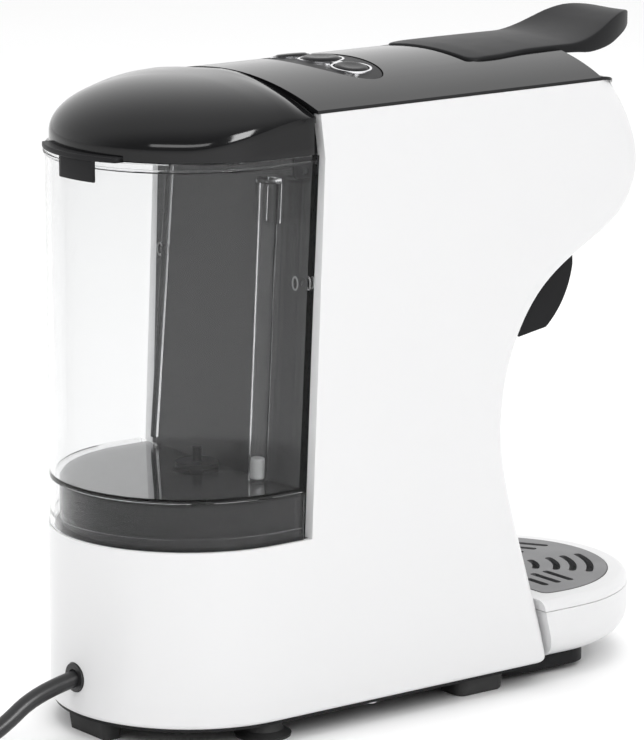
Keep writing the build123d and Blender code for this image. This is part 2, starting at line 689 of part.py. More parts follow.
with BuildPart() as lever:
    with BuildSketch(Plane.YZ):
        with BuildLine():
            Spline((PY, PZ + 4.6), (-60, 270.3), (-85, 270.2), (-100, 270.1), (-112, 271.7),
                   (-124, 275.2), (-135, 277.8), (-143, 278.2))
            ThreePointArc((-143, 278.2), (LEVER_TIP, 275.8), (-143.5, 273.6))
            Spline((-143.5, 273.6), (-132, 271.6), (-118, 266.4), (-105, 263.8), (-92, 264.2),
                   (-60, 264.8), (PY - 3.5, PZ - 2.83))
            Line((PY - 3.5, PZ - 2.83), (PY, PZ + 4.6))
        make_face()
        with Locations((PY, PZ)):
            Circle(4.6)
    extrude(amount=LEVER_REAR, both=True)
    with BuildSketch(Plane.XY.offset(240)):
        add(lever_plan(0, 4.6, 6.0, 0))
        with BuildLine():
            Polyline((-LEVER_HALF, -90), (-LEVER_HALF, -130), (-15, LEVER_TIP), (15, LEVER_TIP),
                     (LEVER_HALF, -130), (LEVER_HALF, -90), close=True)
        make_face()
    extrude(amount=60, mode=Mode.INTERSECT)
    # Room for the frame's ears and for the piston's bridge.
    for x in (-EAR_OUT - GAP, EAR_IN - GAP):
        ear_width = EAR_OUT - EAR_IN + 2 * GAP
        with BuildSketch(Plane.YZ.offset(x)):
            with Locations((PY, PZ)):
                Circle(3.6)
            with Locations((PY + 3, PZ - 5.2)):
                Rectangle(14.4, 14)
            with Locations((PY + 5.2, PZ - 4.4)):
                Rectangle(10.4, 15.6)
        extrude(amount=ear_width, mode=Mode.SUBTRACT)
    extrude(side_box(PY - 15.5, PY + 2.2, 250, PZ + 3.3), amount=11, both=True, mode=Mode.SUBTRACT)
    # Crank arms and their pin.
    for x in (-15.6, 11.2):
        with BuildSketch(Plane.YZ.offset(x)):
            with Locations((PY, PZ), CRANK):
                Circle(3.2)
            middle = ((PY + CRANK[0]) / 2, (PZ + CRANK[1]) / 2)
            with Locations(middle):
                Rectangle(CRANK_R, 6.4, rotation=LEVER_SWING / 2)
        extrude(amount=4.4)
    with BuildSketch(Plane.YZ.offset(-12)):
        with Locations(CRANK):
            Circle(CRANK_PIN_R)
    extrude(amount=24)
    with BuildSketch(Plane.YZ.offset(-30)):
        with Locations((PY, PZ)):
            Circle(LEVER_PIN_R + 0.05)
    extrude(amount=60, mode=Mode.SUBTRACT)
lever.part.label = "lever"
export_step(lever.part, "parts/lever.step")

with BuildPart() as lever_pin:
    with BuildSketch(Plane.YZ.offset(-23)):
        with Locations((PY, PZ)):
            Circle(LEVER_PIN_R)
    extrude(amount=46)
lever_pin.part.label = "lever_pin"
export_step(lever_pin.part, "parts/lever_pin.step")

BRIDGE = (254.7, 263.5)          # bottom and top of the piston's bridge
FRAME_Z = 252.0
ROD_R = 5.0
PLATE_R = 15.5                   # plate that closes the capsule's pocket

with BuildPart() as brew_piston:
    extrude(side_box(BREW_Y - 7, PY - 11.5, BRIDGE[0], BRIDGE[1] - 3.3), amount=10, both=True)
    extrude(side_box(PY - 15.5, PY - 2.9, *BRIDGE), amount=10, both=True)
    extrude(side_box(CRANK[0] - 4.1, CRANK[0] + 2.3, CRANK[1] - 2.3, CRANK[1] + 2.3), amount=10,
            both=True, mode=Mode.SUBTRACT)
    with BuildSketch(Plane.XY.offset(HOLDER_TOP + 3)):
        with Locations((0, BREW_Y)):
            Circle(ROD_R)
    extrude(amount=BRIDGE[0] - HOLDER_TOP - 2)
    with BuildSketch(Plane.XY.offset(HOLDER_TOP + 2)):
        with Locations((0, BREW_Y)):
            Circle(PLATE_R)
    extrude(amount=4)
brew_piston.part.label = "brew_piston"
export_step(brew_piston.part, "parts/brew_piston.step")

with BuildPart() as piercing_plate:
    with BuildSketch(Plane.XY.offset(HOLDER_TOP + 1)):
        with Locations((0, BREW_Y)):
            Circle(14)
    extrude(amount=1)
    with BuildSketch(Plane.XY.offset(HOLDER_TOP + 0.4)):
        with Locations((0, BREW_Y)):
            with PolarLocations(8, 3):
                Circle(1)
    extrude(amount=1)
piercing_plate.part.label = "piercing_plate"
export_step(piercing_plate.part, "parts/piercing_plate.step")

with BuildPart() as head_frame:
    with BuildSketch(Plane.XY.offset(FRAME_Z)):
        with Locations((0, -18)):
            Rectangle(2 * (HALF - WALL - 0.3), 146)
        with Locations((0, BREW_Y)):
            Circle(ROD_R + 0.06, mode=Mode.SUBTRACT)
        with Locations((0, 40)):
            Rectangle(60, 16, mode=Mode.SUBTRACT)
    extrude(amount=2.5)
    for x in (-EAR_OUT, EAR_IN):
        with BuildSketch(Plane.YZ.offset(x)):
            with Locations((PY, PZ)):
                Circle(2.8)
            with Locations((PY, (FRAME_Z + PZ) / 2)):
                Rectangle(5.6, PZ - FRAME_Z)
        extrude(amount=EAR_OUT - EAR_IN)
    with BuildSketch(Plane.YZ.offset(-25)):
        with Locations((PY, PZ)):
            Circle(LEVER_PIN_R)
    extrude(amount=50, mode=Mode.SUBTRACT)
head_frame.part.label = "head_frame"
export_step(head_frame.part, "parts/head_frame.step")

# Floor of the notch under the lever.
with BuildPart() as lever_bed:
    with BuildSketch(Plane.XY.offset(262)):
        with Locations((0, -73)):
            Rectangle(2 * LEVER_HALF + 0.6, 35)
        with Locations((0, -70)):
            Rectangle(22, 36, mode=Mode.SUBTRACT)
    extrude(amount=1.8)
    with BuildSketch(Plane.XY.offset(FRAME_Z + 2.5)):
        with Locations((-23, -87), (23, -87), (-23, -59), (23, -59)):
            Circle(2.5)
    extrude(amount=262 - FRAME_Z - 2.5)
lever_bed.part.label = "lever_bed"
export_step(lever_bed.part, "parts/lever_bed.step")

# ---------------------------------------------------------------------------
# Capsule holder and the brew chamber that it slides into
# ---------------------------------------------------------------------------
with BuildPart() as capsule_holder:
    extrude(side_box(-100, -54, HOLDER_LOW + GAP, HOLDER_TOP), amount=HOLDER_HALF, both=True)
    with BuildSketch(Plane.YZ):
        with BuildLine():
            Polyline((-100, HOLDER_TOP), (-100, HOLDER_LOW + GAP), (-103.2, HOLDER_LOW + GAP))
            ThreePointArc((-103.2, HOLDER_LOW + GAP), (-109.4, 221.5), (-106.4, HOLDER_TOP))
            Line((-106.4, HOLDER_TOP), (-100, HOLDER_TOP))
        make_face()
    extrude(amount=HOLDER_HALF, both=True)
    extrude(side_box(-112.5, -103, HOLDER_LOW + GAP, HOLDER_LOW + 4), amount=18, both=True)
    with BuildSketch(Plane.XY.offset(HOLDER_LOW + 4)):
        with Locations((0, BREW_Y)):
            Circle(16.5)
    extrude(amount=40, mode=Mode.SUBTRACT)
    with BuildSketch(Plane.XY.offset(HOLDER_LOW)):
        with Locations((0, BREW_Y)):
            Circle(5)
    extrude(amount=5, mode=Mode.SUBTRACT)
capsule_holder.part.label = "capsule_holder"
export_step(capsule_holder.part, "parts/capsule_holder.step")

with BuildPart() as brew_chamber:
    extrude(side_box(-92, -46, 199.2, 243), amount=33, both=True)
    extrude(side_box(-100, -50, HOLDER_LOW, 250), amount=HOLDER_HALF + 0.5, both=True,
            mode=Mode.SUBTRACT)
    with BuildSketch(Plane.XY.offset(198)):
        with Locations((0, BREW_Y)):
            Circle(8)
    extrude(amount=7, mode=Mode.SUBTRACT)
brew_chamber.part.label = "brew_chamber"
export_step(brew_chamber.part, "parts/brew_chamber.step")

with BuildPart() as spout_nozzle:
    with BuildSketch(Plane.XZ.offset(-BREW_Y)):
        with BuildLine():
            Polyline((5, 148), (7, 148), (7, 180), (14, 194), (14, 199.1), (12, 199.1), (12, 195),
                     (5, 181), (5, 148))
        make_face()
    revolve(axis=Axis((0, BREW_Y, 0), (0, 0, 1)))
spout_nozzle.part.label = "spout_nozzle"
export_step(spout_nozzle.part, "parts/spout_nozzle.step")

# ---------------------------------------------------------------------------
# Control panel
# ---------------------------------------------------------------------------
TRIM_WIDTH = 1.3
BUTTON_RISE = 1.8         # height of the buttons above the cover
SWITCH_TOP = FRAME_Z + 7.0
panel_rear = BUTTON_Y + 20

with BuildPart() as control_panel:
    extrude(crown_face(0.3, HALF, 255, panel_rear), amount=40)
    extrude(crown_face(2.1, HALF, 254, panel_rear), amount=40, mode=Mode.SUBTRACT)
    with BuildSketch(Plane.XY.offset(SIDE_TOP)):
        with Locations((0, BUTTON_Y)):
            Ellipse(36.4, 14.9)
    extrude(amount=30, mode=Mode.INTERSECT)
    with BuildSketch(Plane.XY.offset(SIDE_TOP)):
        for x, r in zip(BUTTON_X, BUTTON_R):
            with Locations((x, BUTTON_Y)):
                Circle(r + 0.6)
    extrude(amount=30, mode=Mode.SUBTRACT)
control_panel.part.label = "control_panel"
export_step(control_panel.part, "parts/control_panel.step")

with BuildPart() as button_trim:
    extrude(crown_face(-0.5, HALF, 255, panel_rear), amount=40)
    extrude(crown_face(0.25, HALF, 254, panel_rear), amount=40, mode=Mode.SUBTRACT)
    with BuildSketch(Plane.XY.offset(SIDE_TOP)):
        for x, r in zip(BUTTON_X, BUTTON_R):
            with Locations((x, BUTTON_Y)):
                Circle(r + TRIM_WIDTH)
        with Locations((0, BUTTON_Y)):
            Rectangle(BUTTON_X[2] - BUTTON_X[0], 5)
        for x, r in zip(BUTTON_X, BUTTON_R):
            with Locations((x, BUTTON_Y)):
                Circle(r + GAP, mode=Mode.SUBTRACT)
    extrude(amount=30, mode=Mode.INTERSECT)
button_trim.part.label = "button_trim"
export_step(button_trim.part, "parts/button_trim.step")

for x, r, name in zip(BUTTON_X, BUTTON_R, BUTTON_NAMES):
    with BuildPart() as button:
        with BuildSketch(Plane.XY.offset(261.5)):
            Circle(r)
        extrude(amount=crown_z(abs(x)) + BUTTON_RISE - 261.5)
        fillet(button.faces().sort_by(Axis.Z)[-1].edges(), 1.0)
        with BuildSketch(Plane.XY.offset(SWITCH_TOP + 1.4)):
            Circle(2)
        extrude(amount=3)
    placed = button.part.moved(Location((x, BUTTON_Y, 0)))
    placed.label = name
    export_step(placed, f"parts/{name}.step")

with BuildPart() as switch_board:
    with BuildSketch(Plane.XY.offset(FRAME_Z + 2.6)):
        with Locations((0, BUTTON_Y)):
            Rectangle(62, 16)
    extrude(amount=1.6)
    with BuildSketch(Plane.XY.offset(FRAME_Z + 4)):
        for x in BUTTON_X:
            with Locations((x, BUTTON_Y)):
                Rectangle(6, 6)
    extrude(amount=SWITCH_TOP - FRAME_Z - 4)
switch_board.part.label = "switch_board"
export_step(switch_board.part, "parts/switch_board.step")

# ---------------------------------------------------------------------------
# Water circuit and electrics inside
# ---------------------------------------------------------------------------
PUMP_AT = (-24.0, 20.0)
HEATER_AT = (0.0, 14.0)
HEATER_Z = 140.0

with BuildPart() as pump:
    with BuildSketch(Plane.XY.offset(42)):
        with Locations(PUMP_AT):
            RectangleRounded(40, 38, 3)
    extrude(amount=46)
    with BuildSketch(Plane.XY.offset(30)):
        with Locations(PUMP_AT):
            Circle(9)
    extrude(amount=78)
    with BuildSketch(Plane.XY.offset(24)):
        with Locations(PUMP_AT):
            Circle(4)
    extrude(amount=92)
pump.part.label = "pump"
export_step(pump.part, "parts/pump.step")

with BuildPart() as pump_mounts:
    for z in (32, 96):
        with BuildSketch(Plane.XY.offset(z)):
            with Locations(PUMP_AT):
                RectangleRounded(34, 30, 6)
                Circle(9, mode=Mode.SUBTRACT)
        extrude(amount=6)
pump_mounts.part.label = "pump_mounts"
export_step(pump_mounts.part, "parts/pump_mounts.step")

with BuildPart() as pump_bracket:
    with BuildSketch(Plane.XY.offset(SHELL_Z + 3.2)):
        with Locations(PUMP_AT):
            Rectangle(46, 44)
    extrude(amount=2)
    with BuildSketch(Plane.YZ.offset(PUMP_AT[0] - 23)):
        with Locations((PUMP_AT[1], 60)):
            Rectangle(36, 96)
    extrude(amount=1.6)
    for z in (30, 103):
        with BuildSketch(Plane.XY.offset(z)):
            with Locations((PUMP_AT[0] - 2, PUMP_AT[1])):
                Rectangle(40, 36)
            with Locations(PUMP_AT):
                Circle(13, mode=Mode.SUBTRACT)
        extrude(amount=1.6)
pump_bracket.part.label = "pump_bracket"
export_step(pump_bracket.part, "parts/pump_bracket.step")

with BuildPart() as thermoblock:
    with BuildSketch(Plane.XY.offset(HEATER_Z)):
        with Locations(HEATER_AT):
            RectangleRounded(64, 44, 8)
    extrude(amount=52)
    fillet(thermoblock.edges().filter_by(Plane.XY), 2.0)
    with BuildSketch(Plane.XY.offset(HEATER_Z - 8)):
        with Locations((HEATER_AT[0] - 18, HEATER_AT[1])):
            Circle(4)
    extrude(amount=10)
    with BuildSketch(Plane.XY.offset(HEATER_Z + 50)):
        with Locations((HEATER_AT[0], HEATER_AT[1] - 10)):
            Circle(4)
    extrude(amount=10)
    # Ends of the heating rod.
    with BuildSketch(Plane.XY.offset(HEATER_Z + 50)):
        with Locations((HEATER_AT[0] - 22, HEATER_AT[1] + 10), (HEATER_AT[0] + 22, HEATER_AT[1] + 10)):
            Circle(3)
    extrude(amount=12)
thermoblock.part.label = "thermoblock"
export_step(thermoblock.part, "parts/thermoblock.step")

with BuildPart() as heater_bracket:
    with BuildSketch(Plane.XY.offset(HEATER_Z - 2.2)):
        with Locations(HEATER_AT):
            Rectangle(2 * (HALF - WALL - 0.3), 30)
            Rectangle(50, 24, mode=Mode.SUBTRACT)
    extrude(amount=2)
heater_bracket.part.label = "heater_bracket"
export_step(heater_bracket.part, "parts/heater_bracket.step")

with BuildPart() as thermostat:
    with BuildSketch(Plane.YZ.offset(HEATER_AT[0] + 32.1)):
        with Locations((HEATER_AT[1], HEATER_Z + 26)):
            Circle(8)
    extrude(amount=7)
    with BuildSketch(Plane.YZ.offset(HEATER_AT[0] + 39)):
        with Locations((HEATER_AT[1] - 4, HEATER_Z + 26), (HEATER_AT[1] + 4, HEATER_Z + 26)):
            Rectangle(1, 5)
    extrude(amount=6)
thermostat.part.label = "thermostat"
export_step(thermostat.part, "parts/thermostat.step")

FLOW_AT = (-20.0, 98.0)
with BuildPart() as flow_meter:
    with BuildSketch(Plane.XY.offset(40)):
        with Locations(FLOW_AT):
            Circle(15)
    extrude(amount=18)
    with BuildSketch(Plane.XY.offset(58)):
        with Locations((FLOW_AT[0] + 8, FLOW_AT[1])):
            Circle(3.5)
    extrude(amount=8)
    with BuildSketch(Plane.XY.offset(32)):
        with Locations((FLOW_AT[0] - 4, FLOW_AT[1])):
            Circle(3.5)
    extrude(amount=8)
flow_meter.part.label = "flow_meter"
export_step(flow_meter.part, "parts/flow_meter.step")

with BuildPart() as circuit_board:
    with BuildSketch(Plane.YZ.offset(40)):
        with Locations((20, 72)):
            Rectangle(70, 96)
            with GridLocations(62, 88, 2, 2):
                Circle(1.6, mode=Mode.SUBTRACT)
    extrude(amount=1.6)
circuit_board.part.label = "circuit_board"
export_step(circuit_board.part, "parts/circuit_board.step")

with BuildPart() as board_parts:
    for y, z, width, height, depth in ((2, 90, 24, 26, 18), (30, 94, 16, 14, 12),
                                       (38, 62, 12, 26, 11), (8, 50, 20, 12, 9)):
        with BuildSketch(Plane.YZ.offset(40 - depth)):
            with Locations((y, z)):
                Rectangle(width, height)
        extrude(amount=depth)
board_parts.part.label = "board_parts"
export_step(board_parts.part, "parts/board_parts.step")

with BuildPart() as terminal_block:
    with BuildSketch(Plane.XY.offset(SHELL_Z + 3.2)):
        with Locations((22, 92)):
            Rectangle(30, 16)
    extrude(amount=16)
    with BuildSketch(Plane.XY.offset(SHELL_Z + 16)):
        with Locations((22, 92)):
            with GridLocations(9, 1, 3, 1):
                Circle(2.6)
    extrude(amount=4, mode=Mode.SUBTRACT)
terminal_block.part.label = "terminal_block"
export_step(terminal_block.part, "parts/terminal_block.step")


def hose(points, radii, radius):
    """A round hose along straight runs joined by arcs."""
    path = FilletPolyline(*points, radius=radii)
    with BuildPart() as tube:
        with BuildSketch(Plane(origin=path @ 0, z_dir=path % 0)):
            Circle(radius)
        sweep(path=path)
    return tube.part


HOSE_R = 3.0
valve_x, valve_y = VALVE_AT
feed_hose = hose([(valve_x, valve_y, SEAT_Z - 0.3), (valve_x, valve_y, 74),
                  (FLOW_AT[0] + 8, FLOW_AT[1], 74), (FLOW_AT[0] + 8, FLOW_AT[1], 66.1)], 3.8, HOSE_R)
feed_hose.label = "feed_hose"
export_step(feed_hose, "parts/feed_hose.step")

pump_hose = hose([(FLOW_AT[0] - 4, FLOW_AT[1], 31.9), (FLOW_AT[0] - 4, FLOW_AT[1], 19),
                  (PUMP_AT[0], PUMP_AT[1], 19), (PUMP_AT[0], PUMP_AT[1], 23.9)], [6, 2.2], 2.0)
pump_hose.label = "pump_hose"
export_step(pump_hose, "parts/pump_hose.step")

heater_hose = hose([(PUMP_AT[0], PUMP_AT[1], 116.1), (PUMP_AT[0], PUMP_AT[1], 124),
                    (HEATER_AT[0] - 18, HEATER_AT[1], 124), (HEATER_AT[0] - 18, HEATER_AT[1], 131.9)],
                   3.0, 2.4)
heater_hose.label = "heater_hose"
export_step(heater_hose, "parts/heater_hose.step")

brew_hose = hose([(HEATER_AT[0], HEATER_AT[1] - 10, 200.1), (HEATER_AT[0], HEATER_AT[1] - 10, 214),
                  (0, -24, 222), (0, -45.9, 222)], [8, 10], 2.4)
brew_hose.label = "brew_hose"
export_step(brew_hose, "parts/brew_hose.step")

# Screws that hold the base plate to the housing, one node of separate solids.
with BuildPart() as base_screws:
    with BuildSketch(Plane.XY.offset(SHELL_Z - 3.4)):
        with Locations((-50, 30), (50, 30), (-28, 118), (28, 118)):
            Circle(3)
    extrude(amount=2.1)
base_screws.part.label = "base_screws"
export_step(base_screws.part, "parts/base_screws.step")

# ---------------------------------------------------------------------------
# Mains cord: gland, free stretch, put-away coil and plug
# ---------------------------------------------------------------------------
CORD_EXIT_Y = REAR_C + HALF + 0.6
with BuildPart() as cord_gland:
    with BuildSketch(Plane.XZ.offset(-CORD_EXIT_Y)):
        with Locations((0, CORD_Z)):
            Circle(6.0)
    extrude(amount=6)
    with BuildSketch(Plane.XZ.offset(-(CORD_EXIT_Y - 6))):
        with Locations((0, CORD_Z)):
            Circle(6.0)
    extrude(amount=22, taper=5)
    with BuildSketch(Plane.XZ.offset(-(CORD_EXIT_Y - 4.8))):
        with Locations((0, CORD_Z)):
            Circle(8.5)
    extrude(amount=2)
    with BuildSketch(Plane.XZ.offset(-(CORD_EXIT_Y + 1))):
        with Locations((0, CORD_Z)):
            Circle(CORD_R)
    extrude(amount=7, mode=Mode.SUBTRACT)
cord_gland.part.label = "cord_gland"
export_step(cord_gland.part, "parts/cord_gland.step")

COIL_AT = (10.0, 278.0)
COIL_IN, COIL_OUT = 31.0, 46.0
COIL_TOP = 14.0
CORD_POINTS = [(0, CORD_EXIT_Y - 4, CORD_Z), (0, 162, 22.4), (0, 181, 9.4), (-1, 199, 3.6),
               (-5, 218, 3.6), (-18, 236, 3.6), (-29.5, 254, 3.6), (-32.5, 274, 3.6)]


def arc_radii(points):
    """0.45 of the shorter run over the tangent of half the turn, at each corner."""
    radii = []
    for before, here, after in zip(points, points[1:], points[2:]):
        first = Vector(*here) - Vector(*before)
        second = Vector(*after) - Vector(*here)
        turn = radians(first.get_angle(second))
        radii.append(0.45 * min(first.length, second.length) / tan(turn / 2))
    return radii


cord_radii = arc_radii(CORD_POINTS)
power_cord = hose(CORD_POINTS, cord_radii, CORD_R)
cord_path = FilletPolyline(*CORD_POINTS, radius=cord_radii)
print("cord radii", [round(r, 1) for r in cord_radii])
print("cord stretch", round(cord_path.length, 1), "volume ratio",
      round(power_cord.volume / (pi * CORD_R**2 * cord_path.length), 4))
power_cord.label = "power_cord"
export_step(power_cord, "parts/power_cord.step")

with BuildPart() as cord_coil:
    with BuildSketch():
        with Locations(COIL_AT):
            Circle(COIL_OUT)
            Circle(COIL_IN, mode=Mode.SUBTRACT)
    extrude(amount=COIL_TOP)
    fillet(cord_coil.edges().filter_by(GeomType.CIRCLE), 3.0)
cord_coil.part.label = "cord_coil"
export_step(cord_coil.part, "parts/cord_coil.step")

PLUG_X = COIL_AT[0] + (COIL_IN + COIL_OUT) / 2
PLUG_Z = 8.0
PLUG_END = 252.5
with BuildPart() as plug:
    with BuildSketch(Plane.XZ.offset(-PLUG_END)):
        with Locations((PLUG_X, PLUG_Z)):
            Circle(4.4)
    with BuildSketch(Plane.XZ.offset(-(PLUG_END - 24))):
        with Locations((PLUG_X, PLUG_Z)):
            Circle(5.6)
    loft()
    with BuildSketch(Plane.XZ.offset(-(PLUG_END - 22))):
        with Locations((PLUG_X, PLUG_Z)):
            RectangleRounded(15, 11, 5)
    with BuildSketch(Plane.XZ.offset(-(PLUG_END - 56))):
        with Locations((PLUG_X, PLUG_Z)):
            RectangleRounded(24, 15.6, 6)
    loft()
    with BuildSketch(Plane.XZ.offset(-(PLUG_END - 56))):
        with Locations((PLUG_X - 9.3, PLUG_Z), (PLUG_X + 9.3, PLUG_Z)):
            Circle(2.0)
    extrude(amount=19)
plug.part.label = "plug"
export_step(plug.part, "parts/plug.step")
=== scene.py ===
"""Looks of the pod coffee machine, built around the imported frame. Metres, +Z up, -Y is the front."""
import json
from math import asin, cos, pi, radians, sin, sqrt

import bmesh
import bpy
from mathutils import Matrix, Vector


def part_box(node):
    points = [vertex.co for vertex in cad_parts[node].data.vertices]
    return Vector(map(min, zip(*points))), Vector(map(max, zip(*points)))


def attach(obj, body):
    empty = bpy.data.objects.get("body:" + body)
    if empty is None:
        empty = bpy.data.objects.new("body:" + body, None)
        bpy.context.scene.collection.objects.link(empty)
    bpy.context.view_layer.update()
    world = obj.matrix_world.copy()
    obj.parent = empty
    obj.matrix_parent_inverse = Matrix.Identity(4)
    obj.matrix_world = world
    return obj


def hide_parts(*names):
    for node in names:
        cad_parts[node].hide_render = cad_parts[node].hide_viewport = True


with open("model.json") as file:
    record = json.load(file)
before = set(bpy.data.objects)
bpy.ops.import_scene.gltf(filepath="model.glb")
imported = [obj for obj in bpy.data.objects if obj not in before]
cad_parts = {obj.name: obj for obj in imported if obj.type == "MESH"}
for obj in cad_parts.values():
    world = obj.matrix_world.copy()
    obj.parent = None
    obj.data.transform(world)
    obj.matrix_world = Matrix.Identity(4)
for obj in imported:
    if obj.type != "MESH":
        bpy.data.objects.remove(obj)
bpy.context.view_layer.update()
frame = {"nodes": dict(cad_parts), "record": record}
MM = 0.001

# ---------------------------------------------------------------------------
# Measures, taken from the frame
# ---------------------------------------------------------------------------
housing_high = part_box("outer_housing")[1]
cover_low, cover_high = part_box("top_cover")
lid_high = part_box("tank_lid")[1]
tank_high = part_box("water_tank")[1]
lever_low, lever_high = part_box("lever")
HALF = housing_high.x                       # half the width
TOP_Z = cover_high.z                        # crest of the top
COVER_EDGE = 1.3 * MM                       # height of the cover's edge
CROWN = TOP_Z - cover_low.z - COVER_EDGE    # rise from the cover's edge to its crest
CROWN_R = (HALF**2 + CROWN**2) / (2 * CROWN)
REAR_C = housing_high.y - HALF              # centre of the round rear end
TANK_R = tank_high.x
SEAM_Y = cover_high.y + 0.7 * MM


def crown_z(x):
    """Height of the crowned top over a distance from the middle."""
    return TOP_Z - CROWN_R + sqrt(CROWN_R**2 - x * x)


# ---------------------------------------------------------------------------
# Camera
# ---------------------------------------------------------------------------
VIEW_AZIMUTH = radians(232.727)
VIEW_ELEVATION = radians(12.406)
VIEW_DISTANCE = 1.791375
VIEW_TARGET = Vector((-0.03278, 0.04192, 0.145955))

camera_data = bpy.data.cameras.new("camera")
camera_data.lens = 212.14
camera_data.sensor_width = 36
camera = bpy.data.objects.new("camera", camera_data)
bpy.context.scene.collection.objects.link(camera)
camera_back = Vector((sin(VIEW_AZIMUTH) * cos(VIEW_ELEVATION),
                      -cos(VIEW_AZIMUTH) * cos(VIEW_ELEVATION), sin(VIEW_ELEVATION)))
camera.location = VIEW_TARGET + camera_back * VIEW_DISTANCE
camera.rotation_mode = "QUATERNION"
camera.rotation_quaternion = (-camera_back).to_track_quat("-Z", "Y")
bpy.context.scene.camera = camera

# ---------------------------------------------------------------------------
# Materials: all procedural
# ---------------------------------------------------------------------------


def new_material(name):
    material = bpy.data.materials.new(name)
    material.use_nodes = True
    nodes = material.node_tree.nodes
    return material, nodes, material.node_tree.links, nodes["Principled BSDF"]


def noise(nodes, links, coordinates, scale, detail=3.0):
    texture = nodes.new("ShaderNodeTexNoise")
    texture.inputs["Scale"].default_value = scale
    texture.inputs["Detail"].default_value = detail
    links.new(coordinates.outputs["Object"], texture.inputs["Vector"])
    return texture.outputs["Fac"]


def spread(nodes, links, source, low, high):
    """Maps a noise of about 0.3 to 0.7 to a range."""
    node = nodes.new("ShaderNodeMapRange")
    node.inputs["From Min"].default_value = 0.3
    node.inputs["From Max"].default_value = 0.7
    node.inputs["To Min"].default_value = low
    node.inputs["To Max"].default_value = high
    links.new(source, node.inputs["Value"])
    return node.outputs["Result"]


def moulded(name, colour, roughness, tone=0.04, cloud=18, grain=2500, bump=0.02, depth=0.00003,
            **sockets):
    """Moulded plastic, rubber or metal: a colour that varies a little, uneven gloss and a fine grain.
    roughness is (lowest, highest); the other sockets are the same all over."""
    material, nodes, links, shader = new_material(name)
    for socket, value in sockets.items():
        shader.inputs[socket.replace("_", " ")].default_value = value
    coordinates = nodes.new("ShaderNodeTexCoord")
    clouds = noise(nodes, links, coordinates, cloud)
    ramp = nodes.new("ShaderNodeValToRGB")
    ramp.color_ramp.elements[0].position = 0.3
    ramp.color_ramp.elements[1].position = 0.7
    ramp.color_ramp.elements[0].color = [c * (1 - tone) for c in colour] + [1]
    ramp.color_ramp.elements[1].color = [min(1, c * (1 + tone)) for c in colour] + [1]
    links.new(clouds, ramp.inputs["Fac"])
    links.new(ramp.outputs["Color"], shader.inputs["Base Color"])
    smears = noise(nodes, links, coordinates, cloud * 4, 5.0)
    links.new(spread(nodes, links, smears, *roughness), shader.inputs["Roughness"])
    fine = noise(nodes, links, coordinates, grain, 2.0)
    relief = nodes.new("ShaderNodeBump")
    relief.inputs["Strength"].default_value = bump
    relief.inputs["Distance"].default_value = depth
    links.new(fine, relief.inputs["Height"])
    links.new(relief.outputs["Normal"], shader.inputs["Normal"])
    return material


def clear(name, colour, roughness):
    """Clear moulded plastic that lets the lamps through to what it holds."""
    material, nodes, links, shader = new_material(name)
    shader.inputs["Base Color"].default_value = (*colour, 1)
    shader.inputs["Transmission Weight"].default_value = 1
    shader.inputs["IOR"].default_value = 1.24
    coordinates = nodes.new("ShaderNodeTexCoord")
    smears = noise(nodes, links, coordinates, 30, 4.0)
    links.new(spread(nodes, links, smears, *roughness), shader.inputs["Roughness"])
    waves = noise(nodes, links, coordinates, 14, 0.0)
    relief = nodes.new("ShaderNodeBump")
    relief.inputs["Strength"].default_value = 0.03
    relief.inputs["Distance"].default_value = 0.0004
    links.new(waves, relief.inputs["Height"])
    links.new(relief.outputs["Normal"], shader.inputs["Normal"])
    through = nodes.new("ShaderNodeBsdfTransparent")
    through.inputs["Color"].default_value = (*[c**0.5 for c in colour], 1)
    path = nodes.new("ShaderNodeLightPath")
    mix = nodes.new("ShaderNodeMixShader")
    links.new(path.outputs["Is Shadow Ray"], mix.inputs["Fac"])
    links.new(shader.outputs["BSDF"], mix.inputs[1])
    links.new(through.outputs["BSDF"], mix.inputs[2])
    links.new(mix.outputs["Shader"], nodes["Material Output"].inputs["Surface"])
    return material


MATERIALS = {
    "white_shell": moulded("white_shell", (0.775, 0.775, 0.78), (0.275, 0.28), tone=0.0006, cloud=90,
                           grain=300, bump=0.0005),
    "black_gloss": moulded("black_gloss", (0.006, 0.006, 0.0065), (0.09, 0.11), tone=0.15, bump=0.002,
                           grain=400, IOR=1.38),
    "dark_satin": moulded("dark_satin", (0.02, 0.02, 0.021), (0.38, 0.42), tone=0.06, bump=0.004,
                          grain=900, depth=0.00004, IOR=1.16),
    "buttons": moulded("buttons", (0.02, 0.02, 0.021), (0.25, 0.32), tone=0.1, bump=0.02, IOR=1.2),
    "chrome_trim": moulded("chrome_trim", (0.82, 0.82, 0.84), (0.1, 0.18), tone=0.03, bump=0.01,
                           Metallic=1.0),
    "clear_plastic": clear("clear_plastic", (0.9, 0.903, 0.905), (0.0, 0.002)),
    "grille_grey": moulded("grille_grey", (0.16, 0.16, 0.165), (0.34, 0.42), tone=0.05, bump=0.1,
                           grain=3000, depth=0.00005),
    "rubber": moulded("rubber", (0.018, 0.018, 0.018), (0.6, 0.8), tone=0.2, bump=0.3,
                      grain=1500, depth=0.0001),
    "steel": moulded("steel", (0.6, 0.6, 0.62), (0.2, 0.34), tone=0.05, bump=0.05, Metallic=1.0),
    "heater_alloy": moulded("heater_alloy", (0.62, 0.62, 0.63), (0.4, 0.6), tone=0.08, bump=0.4,
                            grain=900, depth=0.0002, Metallic=1.0),
    "inner_plastic": moulded("inner_plastic", (0.28, 0.28, 0.28), (0.35, 0.5), bump=0.15),
    "board": moulded("board", (0.03, 0.16, 0.07), (0.25, 0.4), tone=0.15, cloud=60, bump=0.1),
    "hose": moulded("hose", (0.62, 0.61, 0.58), (0.3, 0.45), bump=0.1, Subsurface_Weight=0.1),
    "cord": moulded("cord", (0.015, 0.015, 0.016), (0.28, 0.42), tone=0.2, bump=0.1, grain=1200,
                    depth=0.00006),
}
